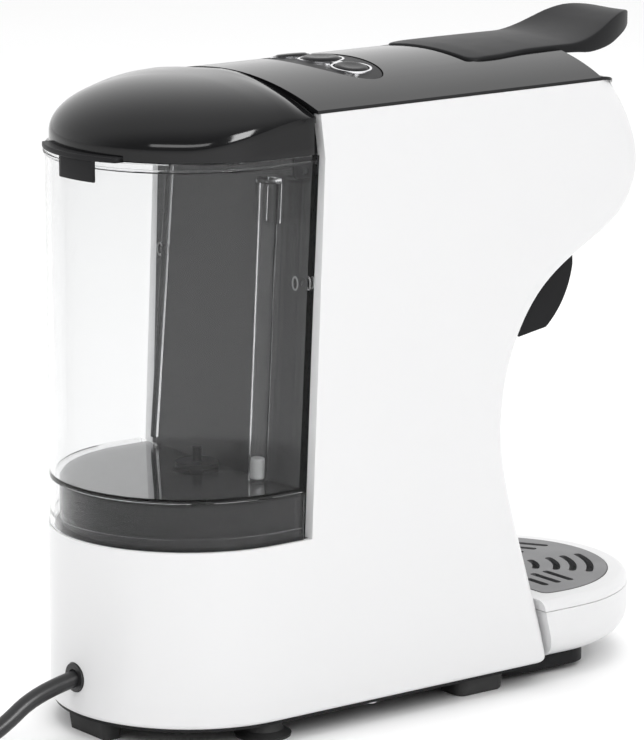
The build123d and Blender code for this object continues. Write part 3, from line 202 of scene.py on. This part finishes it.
for part in frame["record"]["subparts"]:
    node = frame["nodes"][part["node"]]
    node.data.materials.clear()
    node.data.materials.append(MATERIALS[part["material_slot"]])


def finish_piece(piece, slot, body, *nodes):
    """Gives a piece its material, its body, and the nodes that it stands for."""
    piece.data.materials.clear()
    piece.data.materials.append(MATERIALS[slot])
    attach(piece, body)
    if nodes:
        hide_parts(*nodes)
    return piece


def mesh_piece(name, points, faces, smooth=True):
    mesh = bpy.data.meshes.new(name)
    mesh.from_pydata([tuple(p) for p in points], [], faces)
    mesh.validate()
    build = bmesh.new()
    build.from_mesh(mesh)
    bmesh.ops.remove_doubles(build, verts=build.verts, dist=1e-6)
    bmesh.ops.recalc_face_normals(build, faces=build.faces)
    build.to_mesh(mesh)
    build.free()
    for face in mesh.polygons:
        face.use_smooth = smooth
    piece = bpy.data.objects.new(name, mesh)
    bpy.context.scene.collection.objects.link(piece)
    return piece


def grid_faces(rows, columns, closed=False):
    """Quads between rows of points; closed joins the last column to the first."""
    faces = []
    for i in range(rows - 1):
        for j in range(columns if closed else columns - 1):
            k = (j + 1) % columns
            faces.append((i * columns + j, i * columns + k, (i + 1) * columns + k, (i + 1) * columns + j))
    return faces


def add_bevel(piece, width, segments=3, angle=35):
    bevel = piece.modifiers.new("edges", "BEVEL")
    bevel.width = width
    bevel.segments = segments
    bevel.limit_method = "ANGLE"
    bevel.angle_limit = radians(angle)
    bevel.harden_normals = False
    return bevel


# ---------------------------------------------------------------------------
# Mains cord: out of the gland, down to the table, and a put-away coil
# ---------------------------------------------------------------------------
CORD_D = 7.0 * MM
COIL_AT = (0.010, 0.278)
CORD_LIE = 3.6 * MM                         # height of its middle where it lies
CORD_ROUTE = [(0, 0.1406, 0.0252), (0, 0.162, 0.0224), (0, 0.181, 0.0094), (-0.001, 0.199, 0.0036),
              (-0.005, 0.218, 0.0036), (-0.018, 0.236, 0.0036), (-0.0295, 0.254, 0.0036),
              (-0.0325, 0.274, 0.0036)]
TURN_POINTS = 16
OUTER_TURN, INNER_TURN, TOP_TURN = 0.0425, 0.0353, 0.0389


def ease(t):
    t = min(1.0, max(0.0, t))
    return t * t * (3 - 2 * t)


def coil_points():
    """Two turns side by side on the table, then half a turn on top of them, clockwise from above."""
    points = []
    steps = int(2.5 * TURN_POINTS)
    for i in range(1, steps + 1):
        turn = i / TURN_POINTS
        inward = ease((turn - 0.78) / 0.22)
        upward = ease((turn - 1.72) / 0.26)
        radius = OUTER_TURN + (INNER_TURN - OUTER_TURN) * inward + (TOP_TURN - INNER_TURN) * upward
        height = CORD_LIE + 6.2 * MM * upward
        angle = pi - 2 * pi * turn
        points.append((COIL_AT[0] + radius * cos(angle), COIL_AT[1] + radius * sin(angle), height))
    return points


PLUG_X = COIL_AT[0] + 38.5 * MM
PLUG_END = Vector((PLUG_X, 0.2525, 0.008))
cord_points = CORD_ROUTE + coil_points() + [(PLUG_X, 0.268, 0.0097), (PLUG_X, 0.258, 0.0088),
                                            tuple(PLUG_END)]
cord_curve = bpy.data.curves.new("mains_cord", "CURVE")
cord_curve.dimensions = "3D"
cord_curve.bevel_depth = CORD_D / 2
cord_curve.bevel_resolution = 6
cord_curve.resolution_u = 8
cord_curve.use_fill_caps = True
spline = cord_curve.splines.new("NURBS")
spline.points.add(len(cord_points) - 1)
for point, place in zip(spline.points, cord_points):
    point.co = (*place, 1)
spline.order_u = 3
spline.use_endpoint_u = True
cord = bpy.data.objects.new("mains_cord", cord_curve)
bpy.context.scene.collection.objects.link(cord)
finish_piece(cord, "cord", "casing", "power_cord", "cord_coil")

# ---------------------------------------------------------------------------
# Tank lid: the crown runs over into a rounded shoulder towards the rear
# ---------------------------------------------------------------------------
LID_R = lid_high.x
LID_REAR_R = TANK_R - 1.7 * MM              # at the rear the tank's rim stands out past the lid
LID_TAPER = LID_R - LID_REAR_R
LID_BOTTOM = tank_high.z + 0.2 * MM
LID_FRONT = SEAM_Y + 0.7 * MM
LID_WALL = 1.9 * MM
STRAIGHT_STEPS = 6                          # profiles along each straight side
SHOULDER_RUN = 58 * MM                      # way round the edge over which the shoulder grows
ROUND_RUN = 9 * MM                          # and over which its edge turns from sharp to round
WALL_DROP = 10.5 * MM                       # how much lower the wall ends at the rear


def lid_stations(count):
    """(foot of the profile, direction, way from the seam along the edge) round the lid."""
    straight = REAR_C - LID_FRONT
    stations = []
    for i in range(STRAIGHT_STEPS + 1):
        way = straight * i / STRAIGHT_STEPS
        stations.append(((0, LID_FRONT + way), (1, 0), way))
    for i in range(1, count):
        angle = pi * i / count
        way = straight + LID_R * min(angle, pi - angle)
        stations.append(((0, REAR_C), (cos(angle), sin(angle)), way))
    for i in range(STRAIGHT_STEPS + 1):
        way = straight * (STRAIGHT_STEPS - i) / STRAIGHT_STEPS
        stations.append(((0, LID_FRONT + way), (-1, 0), way))
    return stations


def lid_profile(foot, direction, way, steps=44, wall_steps=5):
    """Points from the middle over the crown and the shoulder and down the wall."""
    shoulder, rounding = ease(way / SHOULDER_RUN), ease(way / ROUND_RUN)
    edge = TOP_Z - CROWN - WALL_DROP * shoulder
    reach = LID_R - LID_TAPER * shoulder
    power, root = 2 + 0.3 * rounding, 1 - 0.5 * rounding
    points = []
    for i in range(steps + 1):
        t = sin(pi / 2 * i / steps)
        x, y = foot[0] + direction[0] * reach * t, foot[1] + direction[1] * reach * t
        points.append((x, y, edge + (TOP_Z - edge) * max(0.0, 1 - t**power) ** root))
    for i in range(1, wall_steps + 1):
        points.append((x, y, edge + (LID_BOTTOM - edge) * i / wall_steps))
    return points


def build_lid():
    rows = [lid_profile(*station) for station in lid_stations(64)]
    points = [p for row in rows for p in row]
    columns = len(rows[0])
    faces = grid_faces(len(rows), columns)
    # The straight front end joins the first and the last profile.
    last = (len(rows) - 1) * columns
    faces.append(tuple(range(columns)) + tuple(last + j for j in reversed(range(columns))))
    lid = mesh_piece("lid_dome", points, faces)
    shell = lid.modifiers.new("wall", "SOLIDIFY")
    shell.thickness = LID_WALL
    shell.offset = -1
    add_bevel(lid, 0.2 * MM, 2, 50)
    return lid


def plate(name, outlines, thickness, matrix, bevel=0.3 * MM):
    """A flat plate from closed outlines, the inner ones being holes, placed by a matrix."""
    curve = bpy.data.curves.new(name, "CURVE")
    curve.dimensions = "2D"
    curve.fill_mode = "BOTH"
    curve.extrude = thickness / 2 - bevel
    curve.bevel_depth = bevel
    curve.bevel_resolution = 2
    curve.offset = -bevel
    for outline in outlines:
        line = curve.splines.new("POLY")
        line.points.add(len(outline) - 1)
        for point, (u, v) in zip(line.points, outline):
            point.co = (u, v, 0, 1)
        line.use_cyclic_u = True
    maker = bpy.data.objects.new(name + "_outline", curve)
    mesh = bpy.data.meshes.new_from_object(maker)
    mesh.name = name
    mesh.transform(matrix)
    bpy.data.objects.remove(maker)
    bpy.data.curves.remove(curve)
    piece = bpy.data.objects.new(name, mesh)
    bpy.context.scene.collection.objects.link(piece)
    return piece


def side_plane(x):
    """Plane across the machine at x: its u is +Y and its v is +Z."""
    return Matrix(((0, 0, 1, x), (1, 0, 0, 0), (0, 1, 0, 0), (0, 0, 0, 1)))


def level_plane(z):
    return Matrix.Translation((0, 0, z))


def arc_points(centre, radius, first, last, count):
    return [(centre[0] + radius * cos(first + (last - first) * i / count),
             centre[1] + radius * sin(first + (last - first) * i / count)) for i in range(count + 1)]


def circle_points(centre, radius, count=32):
    return arc_points(centre, radius, 0, 2 * pi, count)[:-1]


lid = finish_piece(build_lid(), "black_gloss", "lid", "tank_lid")

# Finger lip: a lens that stands out at the rear, with a catch that hangs from it.
LIP_OUT = lid_high.y - REAR_C
LIP_R = 50 * MM
LIP_REACH = 26 * MM                         # half its width
CATCH_IN, CATCH_OUT = LID_R + 1.1 * MM, LID_R + 2.2 * MM
CATCH_TURN = (radians(86), radians(106))
lip_centre = (0, REAR_C + LIP_OUT - LIP_R)
lip_turn = asin(LIP_REACH / LIP_R)
tank_turn = asin(LIP_REACH / (LID_REAR_R - 1 * MM))
lip_outline = arc_points(lip_centre, LIP_R, pi / 2 - lip_turn, pi / 2 + lip_turn, 28)
lip_outline += reversed(arc_points((0, REAR_C), LID_REAR_R - 1 * MM, pi / 2 - tank_turn,
                                   pi / 2 + tank_turn, 28))
finish_piece(plate("lid_lip", [lip_outline], 2.2 * MM, level_plane(LID_BOTTOM + 0.9 * MM), 0.4 * MM),
             "dark_satin", "lid")
catch_outline = arc_points((0, REAR_C), CATCH_OUT, *CATCH_TURN, 12)
catch_outline += reversed(arc_points((0, REAR_C), CATCH_IN, *CATCH_TURN, 12))
finish_piece(plate("lid_catch", [catch_outline], 9 * MM, level_plane(LID_BOTTOM - 4.3 * MM)),
             "dark_satin", "lid")

# Tabs that reach down inside the tank's front corners.
TAB_CUT = 1.5 * MM                          # cut of its lower corners
for side, name in ((-1, "lid_tab_left"), (1, "lid_tab_right")):
    low, high = (64.5 * MM, LID_BOTTOM - 9.5 * MM), (73.5 * MM, LID_BOTTOM + 3 * MM)
    tab_outline = [(low[0], low[1] + TAB_CUT), (low[0] + TAB_CUT, low[1]), (high[0] - TAB_CUT, low[1]),
                   (high[0], low[1] + TAB_CUT), (high[0], high[1]), (low[0], high[1])]
    hole = circle_points((67.6 * MM, LID_BOTTOM - 6.6 * MM), 1.5 * MM, 20)
    finish_piece(plate(name, [tab_outline, hole], 1.6 * MM, side_plane(side * 54.6 * MM)),
                 "dark_satin", "lid")

# Hinge knuckles of the lid, round the tank's hinge pin.
pin_low, pin_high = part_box("hinge_pin")
HINGE = ((pin_low.y + pin_high.y) / 2, (pin_low.z + pin_high.z) / 2)
for side, name in ((-1, "lid_knuckle_left"), (1, "lid_knuckle_right")):
    knuckle = arc_points(HINGE, 2.2 * MM, radians(-150), radians(90), 20)
    knuckle += [(HINGE[0] - 2.6 * MM, HINGE[1] + 2.2 * MM), (HINGE[0] - 2.6 * MM, HINGE[1] - 1.5 * MM)]
    finish_piece(plate(name, [knuckle, circle_points(HINGE, 1.1 * MM, 16)], 5 * MM,
                       side_plane(side * 8.1 * MM)), "black_gloss", "lid")

# Dark strip in the seam between the cover and the lid: painted shade, a black block set down in the gap
# to stand in for the shade in the groove.
SEAM_X = range(-57, 58, 3)                  # millimetres across the machine
seam_points = []
for y in (cover_high.y - 0.4 * MM, cover_high.y + 0.9 * MM):
    for drop in (1.1 * MM, 3.5 * MM):
        seam_points += [(x * MM, y, crown_z(x * MM) - drop) for x in SEAM_X]
seam_columns = len(SEAM_X)
seam_faces = [(k * seam_columns + j, k * seam_columns + j + 1, m * seam_columns + j + 1,
               m * seam_columns + j)
              for k, m in ((0, 1), (1, 3), (3, 2), (2, 0)) for j in range(seam_columns - 1)]
seam_faces += [tuple(k * seam_columns + end for k in (0, 1, 3, 2)) for end in (0, seam_columns - 1)]
finish_piece(mesh_piece("seam_shade_strip", seam_points, seam_faces, smooth=False), "rubber", "casing")

# ---------------------------------------------------------------------------
# Lever: a crowned bar that widens at its pivot and ends in a dished paddle
# ---------------------------------------------------------------------------
lever_pin_low, lever_pin_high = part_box("lever_pin")
PIVOT = ((lever_pin_low.y + lever_pin_high.y) / 2, (lever_pin_low.z + lever_pin_high.z) / 2)
LEVER_REAR = lever_high.y - 1.6 * MM
LEVER_TIP = lever_low.y
WIDE = lever_high.x                         # half width at the pivot
NARROW = 26.2 * MM
# Millimetres: distance from the front (y), and height or offset there.
EDGE_TOP = [(-150, 273.9), (-146.5, 275.8), (-141, 278.2), (-135, 279.0), (-129, 278.4), (-122, 276.0),
            (-116, 273.3), (-110, 270.9), (-104, 269.2), (-98, 268.3), (-90, 268.25), (-70, 268.3),
            (-52, 268.2), (-46, 268.1), (-41, 267.7), (-36, 267.2)]
EDGE_LIFT = [(-150, 0.4), (-146.5, 0.5), (-138, 1.1), (-128, 1.1), (-118, 0.3), (-108, -0.8),
             (-98, -1.7), (-85, -1.93), (-30, -1.93)]
UNDERSIDE = [(-150, 272.3), (-146.5, 271.7), (-140, 270.6), (-134, 269.0), (-128, 267.2), (-122, 265.4),
             (-115, 264.2), (-107, 263.6), (-100, 264.2), (-90, 264.5), (-60, 264.6), (-30, 264.0)]
HALF_WIDTH = [(-100, 26.2), (-95, 26.0), (-88, 26.0), (-80, 26.2), (-70, 26.6), (-61, 28.1),
              (-54, 29.2), (-47, 29.55), (-30, 29.6)]


def lookup(table, at):
    """Smooth curve through a table of (place, value)."""
    count = len(table)
    i = 0
    while i < count - 2 and at > table[i + 1][0]:
        i += 1
    (x0, y0), (x1, y1) = table[i], table[i + 1]

    def slope(k):
        a, b = table[max(0, k - 1)], table[min(count - 1, k + 1)]
        return (b[1] - a[1]) / (b[0] - a[0])

    span = x1 - x0
    t = min(1.0, max(0.0, (at - x0) / span))
    first, second = slope(i) * span, slope(i + 1) * span
    return (y0 * (1 + 2 * t) * (1 - t) ** 2 + first * t * (1 - t) ** 2
            + y1 * t * t * (3 - 2 * t) + second * t * t * (t - 1))


def lever_outline():
    """Plan of the lever, from the rear's middle round its right side to the tip and back."""
    right = []
    corner = 5 * MM
    for i in range(6):
        right.append(((WIDE - corner) * i / 5, LEVER_REAR - 0.6 * MM * (i / 5) ** 2))
    for i in range(1, 9):
        a = pi / 2 * i / 8
        right.append((WIDE - corner + corner * sin(a), LEVER_REAR - 0.6 * MM - corner * (1 - cos(a))))
    front = -100 * MM
    y = LEVER_REAR - 0.6 * MM - corner
    steps = 40
    for i in range(1, steps + 1):
        at = y + (front - y) * i / steps
        right.append((lookup(HALF_WIDTH, at / MM) * MM, at))
    for i in range(1, 25):
        a = pi / 2 * i / 24
        right.append((NARROW * cos(a) ** 1.1, front + (LEVER_TIP - front) * sin(a) ** 1.1))
    left = [(-x, y) for x, y in reversed(right[1:-1])]
    return right + left


def lever_top(x, y):
    lift = lookup(EDGE_LIFT, y / MM)
    return (lookup(EDGE_TOP, y / MM) + lift * ((x / NARROW) ** 2 - 1)) * MM


def build_lever():
    outline = lever_outline()
    rings = []

    def ring(share, height):
        points = []
        for x, y in outline:
            spine = min(-48 * MM, max(-122 * MM, y))
            px, py = x * share, spine + (y - spine) * share
            points.append((px, py, height(px, py)))
        rings.append(points)

    def hollow(y):
        return ease((y / MM + 108) / 14)

    def under(x, y):
        low = lookup(UNDERSIDE, y / MM) * MM
        return low + (lever_top(x, y) - 2.2 * MM - low) * hollow(y)

    for share in (0.04, 0.15, 0.3, 0.45, 0.6, 0.72, 0.82, 0.9, 0.95):
        ring(share, lever_top)
    # Rounded upper edge, side, rounded lower edge.
    for share, drop in ((0.972, 0.05), (0.985, 0.16), (0.994, 0.4), (1.0, 0.8)):
        ring(share, lambda x, y, drop=drop: lever_top(x, y) - drop * MM)
    ring(1.0, lambda x, y: lookup(UNDERSIDE, y / MM) * MM + 0.7 * MM)
    for share, rise in ((0.994, 0.3), (0.982, 0.08), (0.965, 0.0), (0.93, 0.0)):
        ring(share, lambda x, y, rise=rise: lookup(UNDERSIDE, y / MM) * MM + rise * MM)
    ring(0.92, under)
    for share in (0.8, 0.6, 0.4, 0.2, 0.04):
        ring(share, under)
    columns = len(outline)
    points = [p for r in rings for p in r]
    faces = grid_faces(len(rings), columns, closed=True)
    tip = columns // 2
    for first, turn in ((0, 1), ((len(rings) - 1) * columns, -1)):
        cap = [(0, 1, columns - 1), (tip - 1, tip, tip + 1)]
        cap += [(i, i + 1, columns - i - 1, columns - i) for i in range(1, tip - 1)]
        faces += [tuple(first + k for k in face)[::turn] for face in cap]
    return mesh_piece("lever_handle", points, faces)


finish_piece(build_lever(), "dark_satin", "lever", "lever")

CRANK_LENGTH = 9 * MM
CRANK_X = 13.4 * MM                         # distance of each crank from the middle
CRANK = (PIVOT[0] - CRANK_LENGTH * cos(radians(35)), PIVOT[1] - CRANK_LENGTH * sin(radians(35)))
for side, name in ((-1, "lever_crank_left"), (1, "lever_crank_right")):
    arm = arc_points(PIVOT, 2.9 * MM, radians(-55), radians(125), 14)
    arm += arc_points(CRANK, 3.2 * MM, radians(125), radians(305), 14)
    finish_piece(plate(name, [arm, circle_points(PIVOT, 2.05 * MM, 24)], 4.2 * MM,
                       side_plane(side * CRANK_X), 0.4 * MM), "dark_satin", "lever")
    # Web that ties the crank to the lever's roof.
    web = [(PIVOT[0] + along * MM, PIVOT[1] + up * MM)
           for along, up in ((1, 0.9), (-9, -0.4), (-9, 1.6), (1, 1.4))]
    finish_piece(plate(name + "_web", [web], 3 * MM, side_plane(side * CRANK_X), 0.2 * MM),
                 "dark_satin", "lever")
crank_pin = plate("crank_pin", [circle_points(CRANK, 2 * MM, 24)], 24 * MM, side_plane(0), 0.3 * MM)
finish_piece(crank_pin, "steel", "lever")

# ---------------------------------------------------------------------------
# Buttons: low domes that stand square on the crowned panel
# ---------------------------------------------------------------------------
BUTTON_PROFILE = [(0.0, 1.1), (0.2, 1.13), (0.4, 1.22), (0.56, 1.34), (0.7, 1.42), (0.8, 1.36),
                  (0.88, 1.16), (0.94, 0.82), (0.98, 0.4), (1.0, -0.1), (1.0, -3.5), (0.9, -3.6)]


def build_button(name, centre, radius):
    tilt = Matrix.Rotation(asin(centre.x / CROWN_R), 4, "Y")
    place = Matrix.Translation((centre.x, centre.y, crown_z(centre.x))) @ tilt
    points, count = [], 56
    for share, height in BUTTON_PROFILE[1:]:
        for i in range(count):
            a = 2 * pi * i / count
            points.append(place @ Vector((radius * share * cos(a), radius * share * sin(a),
                                          height * MM)))
    faces = grid_faces(len(BUTTON_PROFILE) - 1, count, closed=True)
    points.append(place @ Vector((0, 0, BUTTON_PROFILE[0][1] * MM)))
    points.append(place @ Vector((0, 0, BUTTON_PROFILE[-1][1] * MM)))
    last = (len(BUTTON_PROFILE) - 2) * count
    for i in range(count):
        k = (i + 1) % count
        faces.append((len(points) - 2, i, k))
        faces.append((len(points) - 1, last + k, last + i))
    return mesh_piece(name, points, faces)


def trim_arcs(centres, radii):
    """The outer edge of overlapping circles, as one run of points for each."""
    count, runs = 144, []
    for centre, radius in zip(centres, radii):
        ring = circle_points(centre, radius, count)
        others = [(c, r - 0.05 * MM) for c, r in zip(centres, radii) if c != centre]
        free = [all((x - cx) ** 2 + (y - cy) ** 2 >= r**2 for (cx, cy), r in others) for x, y in ring]
        for start in range(count):
            if free[start] and not free[start - 1]:
                run, k = [], start
                while free[k % count]:
                    run.append(ring[k % count])
                    k += 1
                runs.append(run)
    return runs


TRIM_OUT = 1.0 * MM                         # from a button's edge to the line round it
TRIM_LINE_R = 0.5 * MM
button_centres, trim_radii = [], []
for node, body in (("button_small_cup", "small_cup_button"), ("button_power", "power_button"),
                   ("button_large_cup", "large_cup_button")):
    low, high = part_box(node)
    centre = (low + high) / 2
    radius = (high.x - low.x) / 2
    finish_piece(build_button(node + "_cap", centre, radius), "buttons", body, node)
    button_centres.append((centre.x, centre.y))
    trim_radii.append(radius + TRIM_OUT)


def tube(name, path, radius, closed=False, sides=10):
    """A round bead along a path of points."""
    curve = bpy.data.curves.new(name, "CURVE")
    curve.dimensions = "3D"
    curve.bevel_depth = radius
    curve.bevel_resolution = sides // 2 - 1
    curve.use_fill_caps = True
    line = curve.splines.new("POLY")
    line.points.add(len(path) - 1)
    for point, place in zip(line.points, path):
        point.co = (*place, 1)
    line.use_cyclic_u = closed
    maker = bpy.data.objects.new(name + "_path", curve)
    mesh = bpy.data.meshes.new_from_object(maker)
    mesh.name = name
    bpy.data.objects.remove(maker)
    bpy.data.curves.remove(curve)
    for face in mesh.polygons:
        face.use_smooth = True
    piece = bpy.data.objects.new(name, mesh)
    bpy.context.scene.collection.objects.link(piece)
    return piece


for number, run in enumerate(trim_arcs(button_centres, trim_radii)):
    trim_path = [(x, y, crown_z(x) + 0.1 * MM) for x, y in run]
    finish_piece(tube("trim_line_%d" % number, trim_path, TRIM_LINE_R),
                 "chrome_trim", "casing", *(["button_trim"] if number == 0 else []))

# ---------------------------------------------------------------------------
# Beads and a rib on the tank, rings on the wall behind it, the cover's rim
# ---------------------------------------------------------------------------


def tank_edge(radius, front, height):
    """The tank's outline, open at the front, at a height."""
    round_end = arc_points((0, REAR_C), radius, 0, pi, 72)
    return [(x, y, height) for x, y in [(radius, front)] + round_end + [(-radius, front)]]


RIM_Z = tank_high.z - 2.7 * MM
FLOOR_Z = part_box("tank_pedestal")[1].z + 1.4 * MM
finish_piece(tube("tank_rim_bead", tank_edge(TANK_R + 0.1 * MM, 64.5 * MM, RIM_Z), 0.75 * MM),
             "clear_plastic", "tank")
for name, height in (("tank_floor_bead", FLOOR_Z), ("tank_skirt_bead", FLOOR_Z - 15.5 * MM)):
    finish_piece(tube(name, tank_edge(TANK_R - 0.55 * MM, 71.5 * MM, height), 0.5 * MM),
                 "clear_plastic", "tank")

WALL_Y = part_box("rear_wall")[1].y
RING_X, RING_Z = 47 * MM, 187.5 * MM
for side, name in ((-1, "wall_ring_left"), (1, "wall_ring_right")):
    turns = [2 * pi * i / 28 for i in range(28)]
    ring = [(side * RING_X + 1.7 * MM * cos(a), WALL_Y + 0.05 * MM, RING_Z + 2.6 * MM * sin(a))
            for a in turns]
    finish_piece(tube(name, ring, 0.4 * MM, closed=True), "inner_plastic", "casing")

# Raised line along the cover's bowed front edge, either side of the lever.
RIM_Y, RIM_BOW, RIM_END = -89, 4.6, 57      # millimetres
for side, name in ((-1, "cover_rim_left"), (1, "cover_rim_right")):
    rim = [(side * x * MM, (RIM_Y + RIM_BOW * (x / RIM_END) ** 2) * MM, crown_z(x * MM) - 0.1 * MM)
           for x in range(28, RIM_END)]
    finish_piece(tube(name, rim, 0.55 * MM), "black_gloss", "casing")

RIB_PATH = [(38.5, 66.2, 238), (39.5, 67.2, 215), (44, 72.4, 108)]     # millimetres
finish_piece(tube("tank_rib", [(x * MM, y * MM, z * MM) for x, y, z in RIB_PATH], 1.8 * MM, sides=14),
             "clear_plastic", "tank")

# ---------------------------------------------------------------------------
# Stage and light
# ---------------------------------------------------------------------------


def stage_floor():
    material, nodes, links, shader = new_material("floor_paint")
    shader.inputs["Roughness"].default_value = 0.8
    coordinates = nodes.new("ShaderNodeTexCoord")
    ramp = nodes.new("ShaderNodeValToRGB")
    ramp.color_ramp.elements[0].color = (0.93, 0.93, 0.93, 1)
    ramp.color_ramp.elements[1].color = (0.95, 0.95, 0.95, 1)
    links.new(noise(nodes, links, coordinates, 3), ramp.inputs["Fac"])
    links.new(ramp.outputs["Color"], shader.inputs["Base Color"])
    size = 8.0
    floor = mesh_piece("floor", [(-size, -size, 0), (size, -size, 0), (size, size, 0), (-size, size, 0)],
                       [(0, 1, 2, 3)])
    floor.data.materials.append(material)


def area_light(name, place, size, power, highlight=False):
    """A soft lamp, or one that only shows as a highlight on gloss."""
    data = bpy.data.lights.new(name, "AREA")
    data.shape = "RECTANGLE"
    data.size, data.size_y = size
    data.energy = power
    light = bpy.data.objects.new(name, data)
    light.location = place
    light.rotation_mode = "QUATERNION"
    light.rotation_quaternion = (Vector((0, 0, 0.14)) - Vector(place)).to_track_quat("-Z", "Y")
    light.visible_glossy = highlight
    light.visible_diffuse = not highlight
    light.visible_transmission = False
    light.visible_camera = False
    bpy.context.scene.collection.objects.link(light)


def studio_world():
    """White backdrop behind the machine and a dimmer room on the side that is looked at."""
    world = bpy.data.worlds.new("studio")
    world.use_nodes = True
    nodes, links = world.node_tree.nodes, world.node_tree.links
    direction = nodes.new("ShaderNodeTexCoord").outputs["Generated"]
    facing = nodes.new("ShaderNodeVectorMath")
    facing.operation = "DOT_PRODUCT"
    facing.inputs[1].default_value = (camera_back.x, camera_back.y, -0.35)
    links.new(direction, facing.inputs[0])
    level = nodes.new("ShaderNodeMapRange")
    level.interpolation_type = "SMOOTHSTEP"
    level.inputs["From Min"].default_value = -0.25
    level.inputs["From Max"].default_value = 0.7
    level.inputs["To Min"].default_value = 1.06
    level.inputs["To Max"].default_value = 0.25
    links.new(facing.outputs["Value"], level.inputs["Value"])
    nodes["Background"].inputs["Color"].default_value = (1, 1, 1, 1)
    links.new(level.outputs["Result"], nodes["Background"].inputs["Strength"])
    bpy.context.scene.world = world


stage_floor()
studio_world()
# Place in metres, size in metres, watts.
area_light("key", (-1.5, 0.6, 1.3), (1.2, 1.2), 13)
area_light("rear", (-0.2, 2.0, 1.4), (1.6, 1.0), 8)
area_light("top", (0.3, -0.2, 2.2), (1.6, 1.6), 16)
area_light("strip", (-1.92, 0.17, 0.97), (0.55, 1.1), 34, highlight=True)
area_light("bounce", (-1.36, 1.49, 0.87), (1.5, 0.35), 9, highlight=True)
bpy.context.scene.view_settings.view_transform = "Standard"
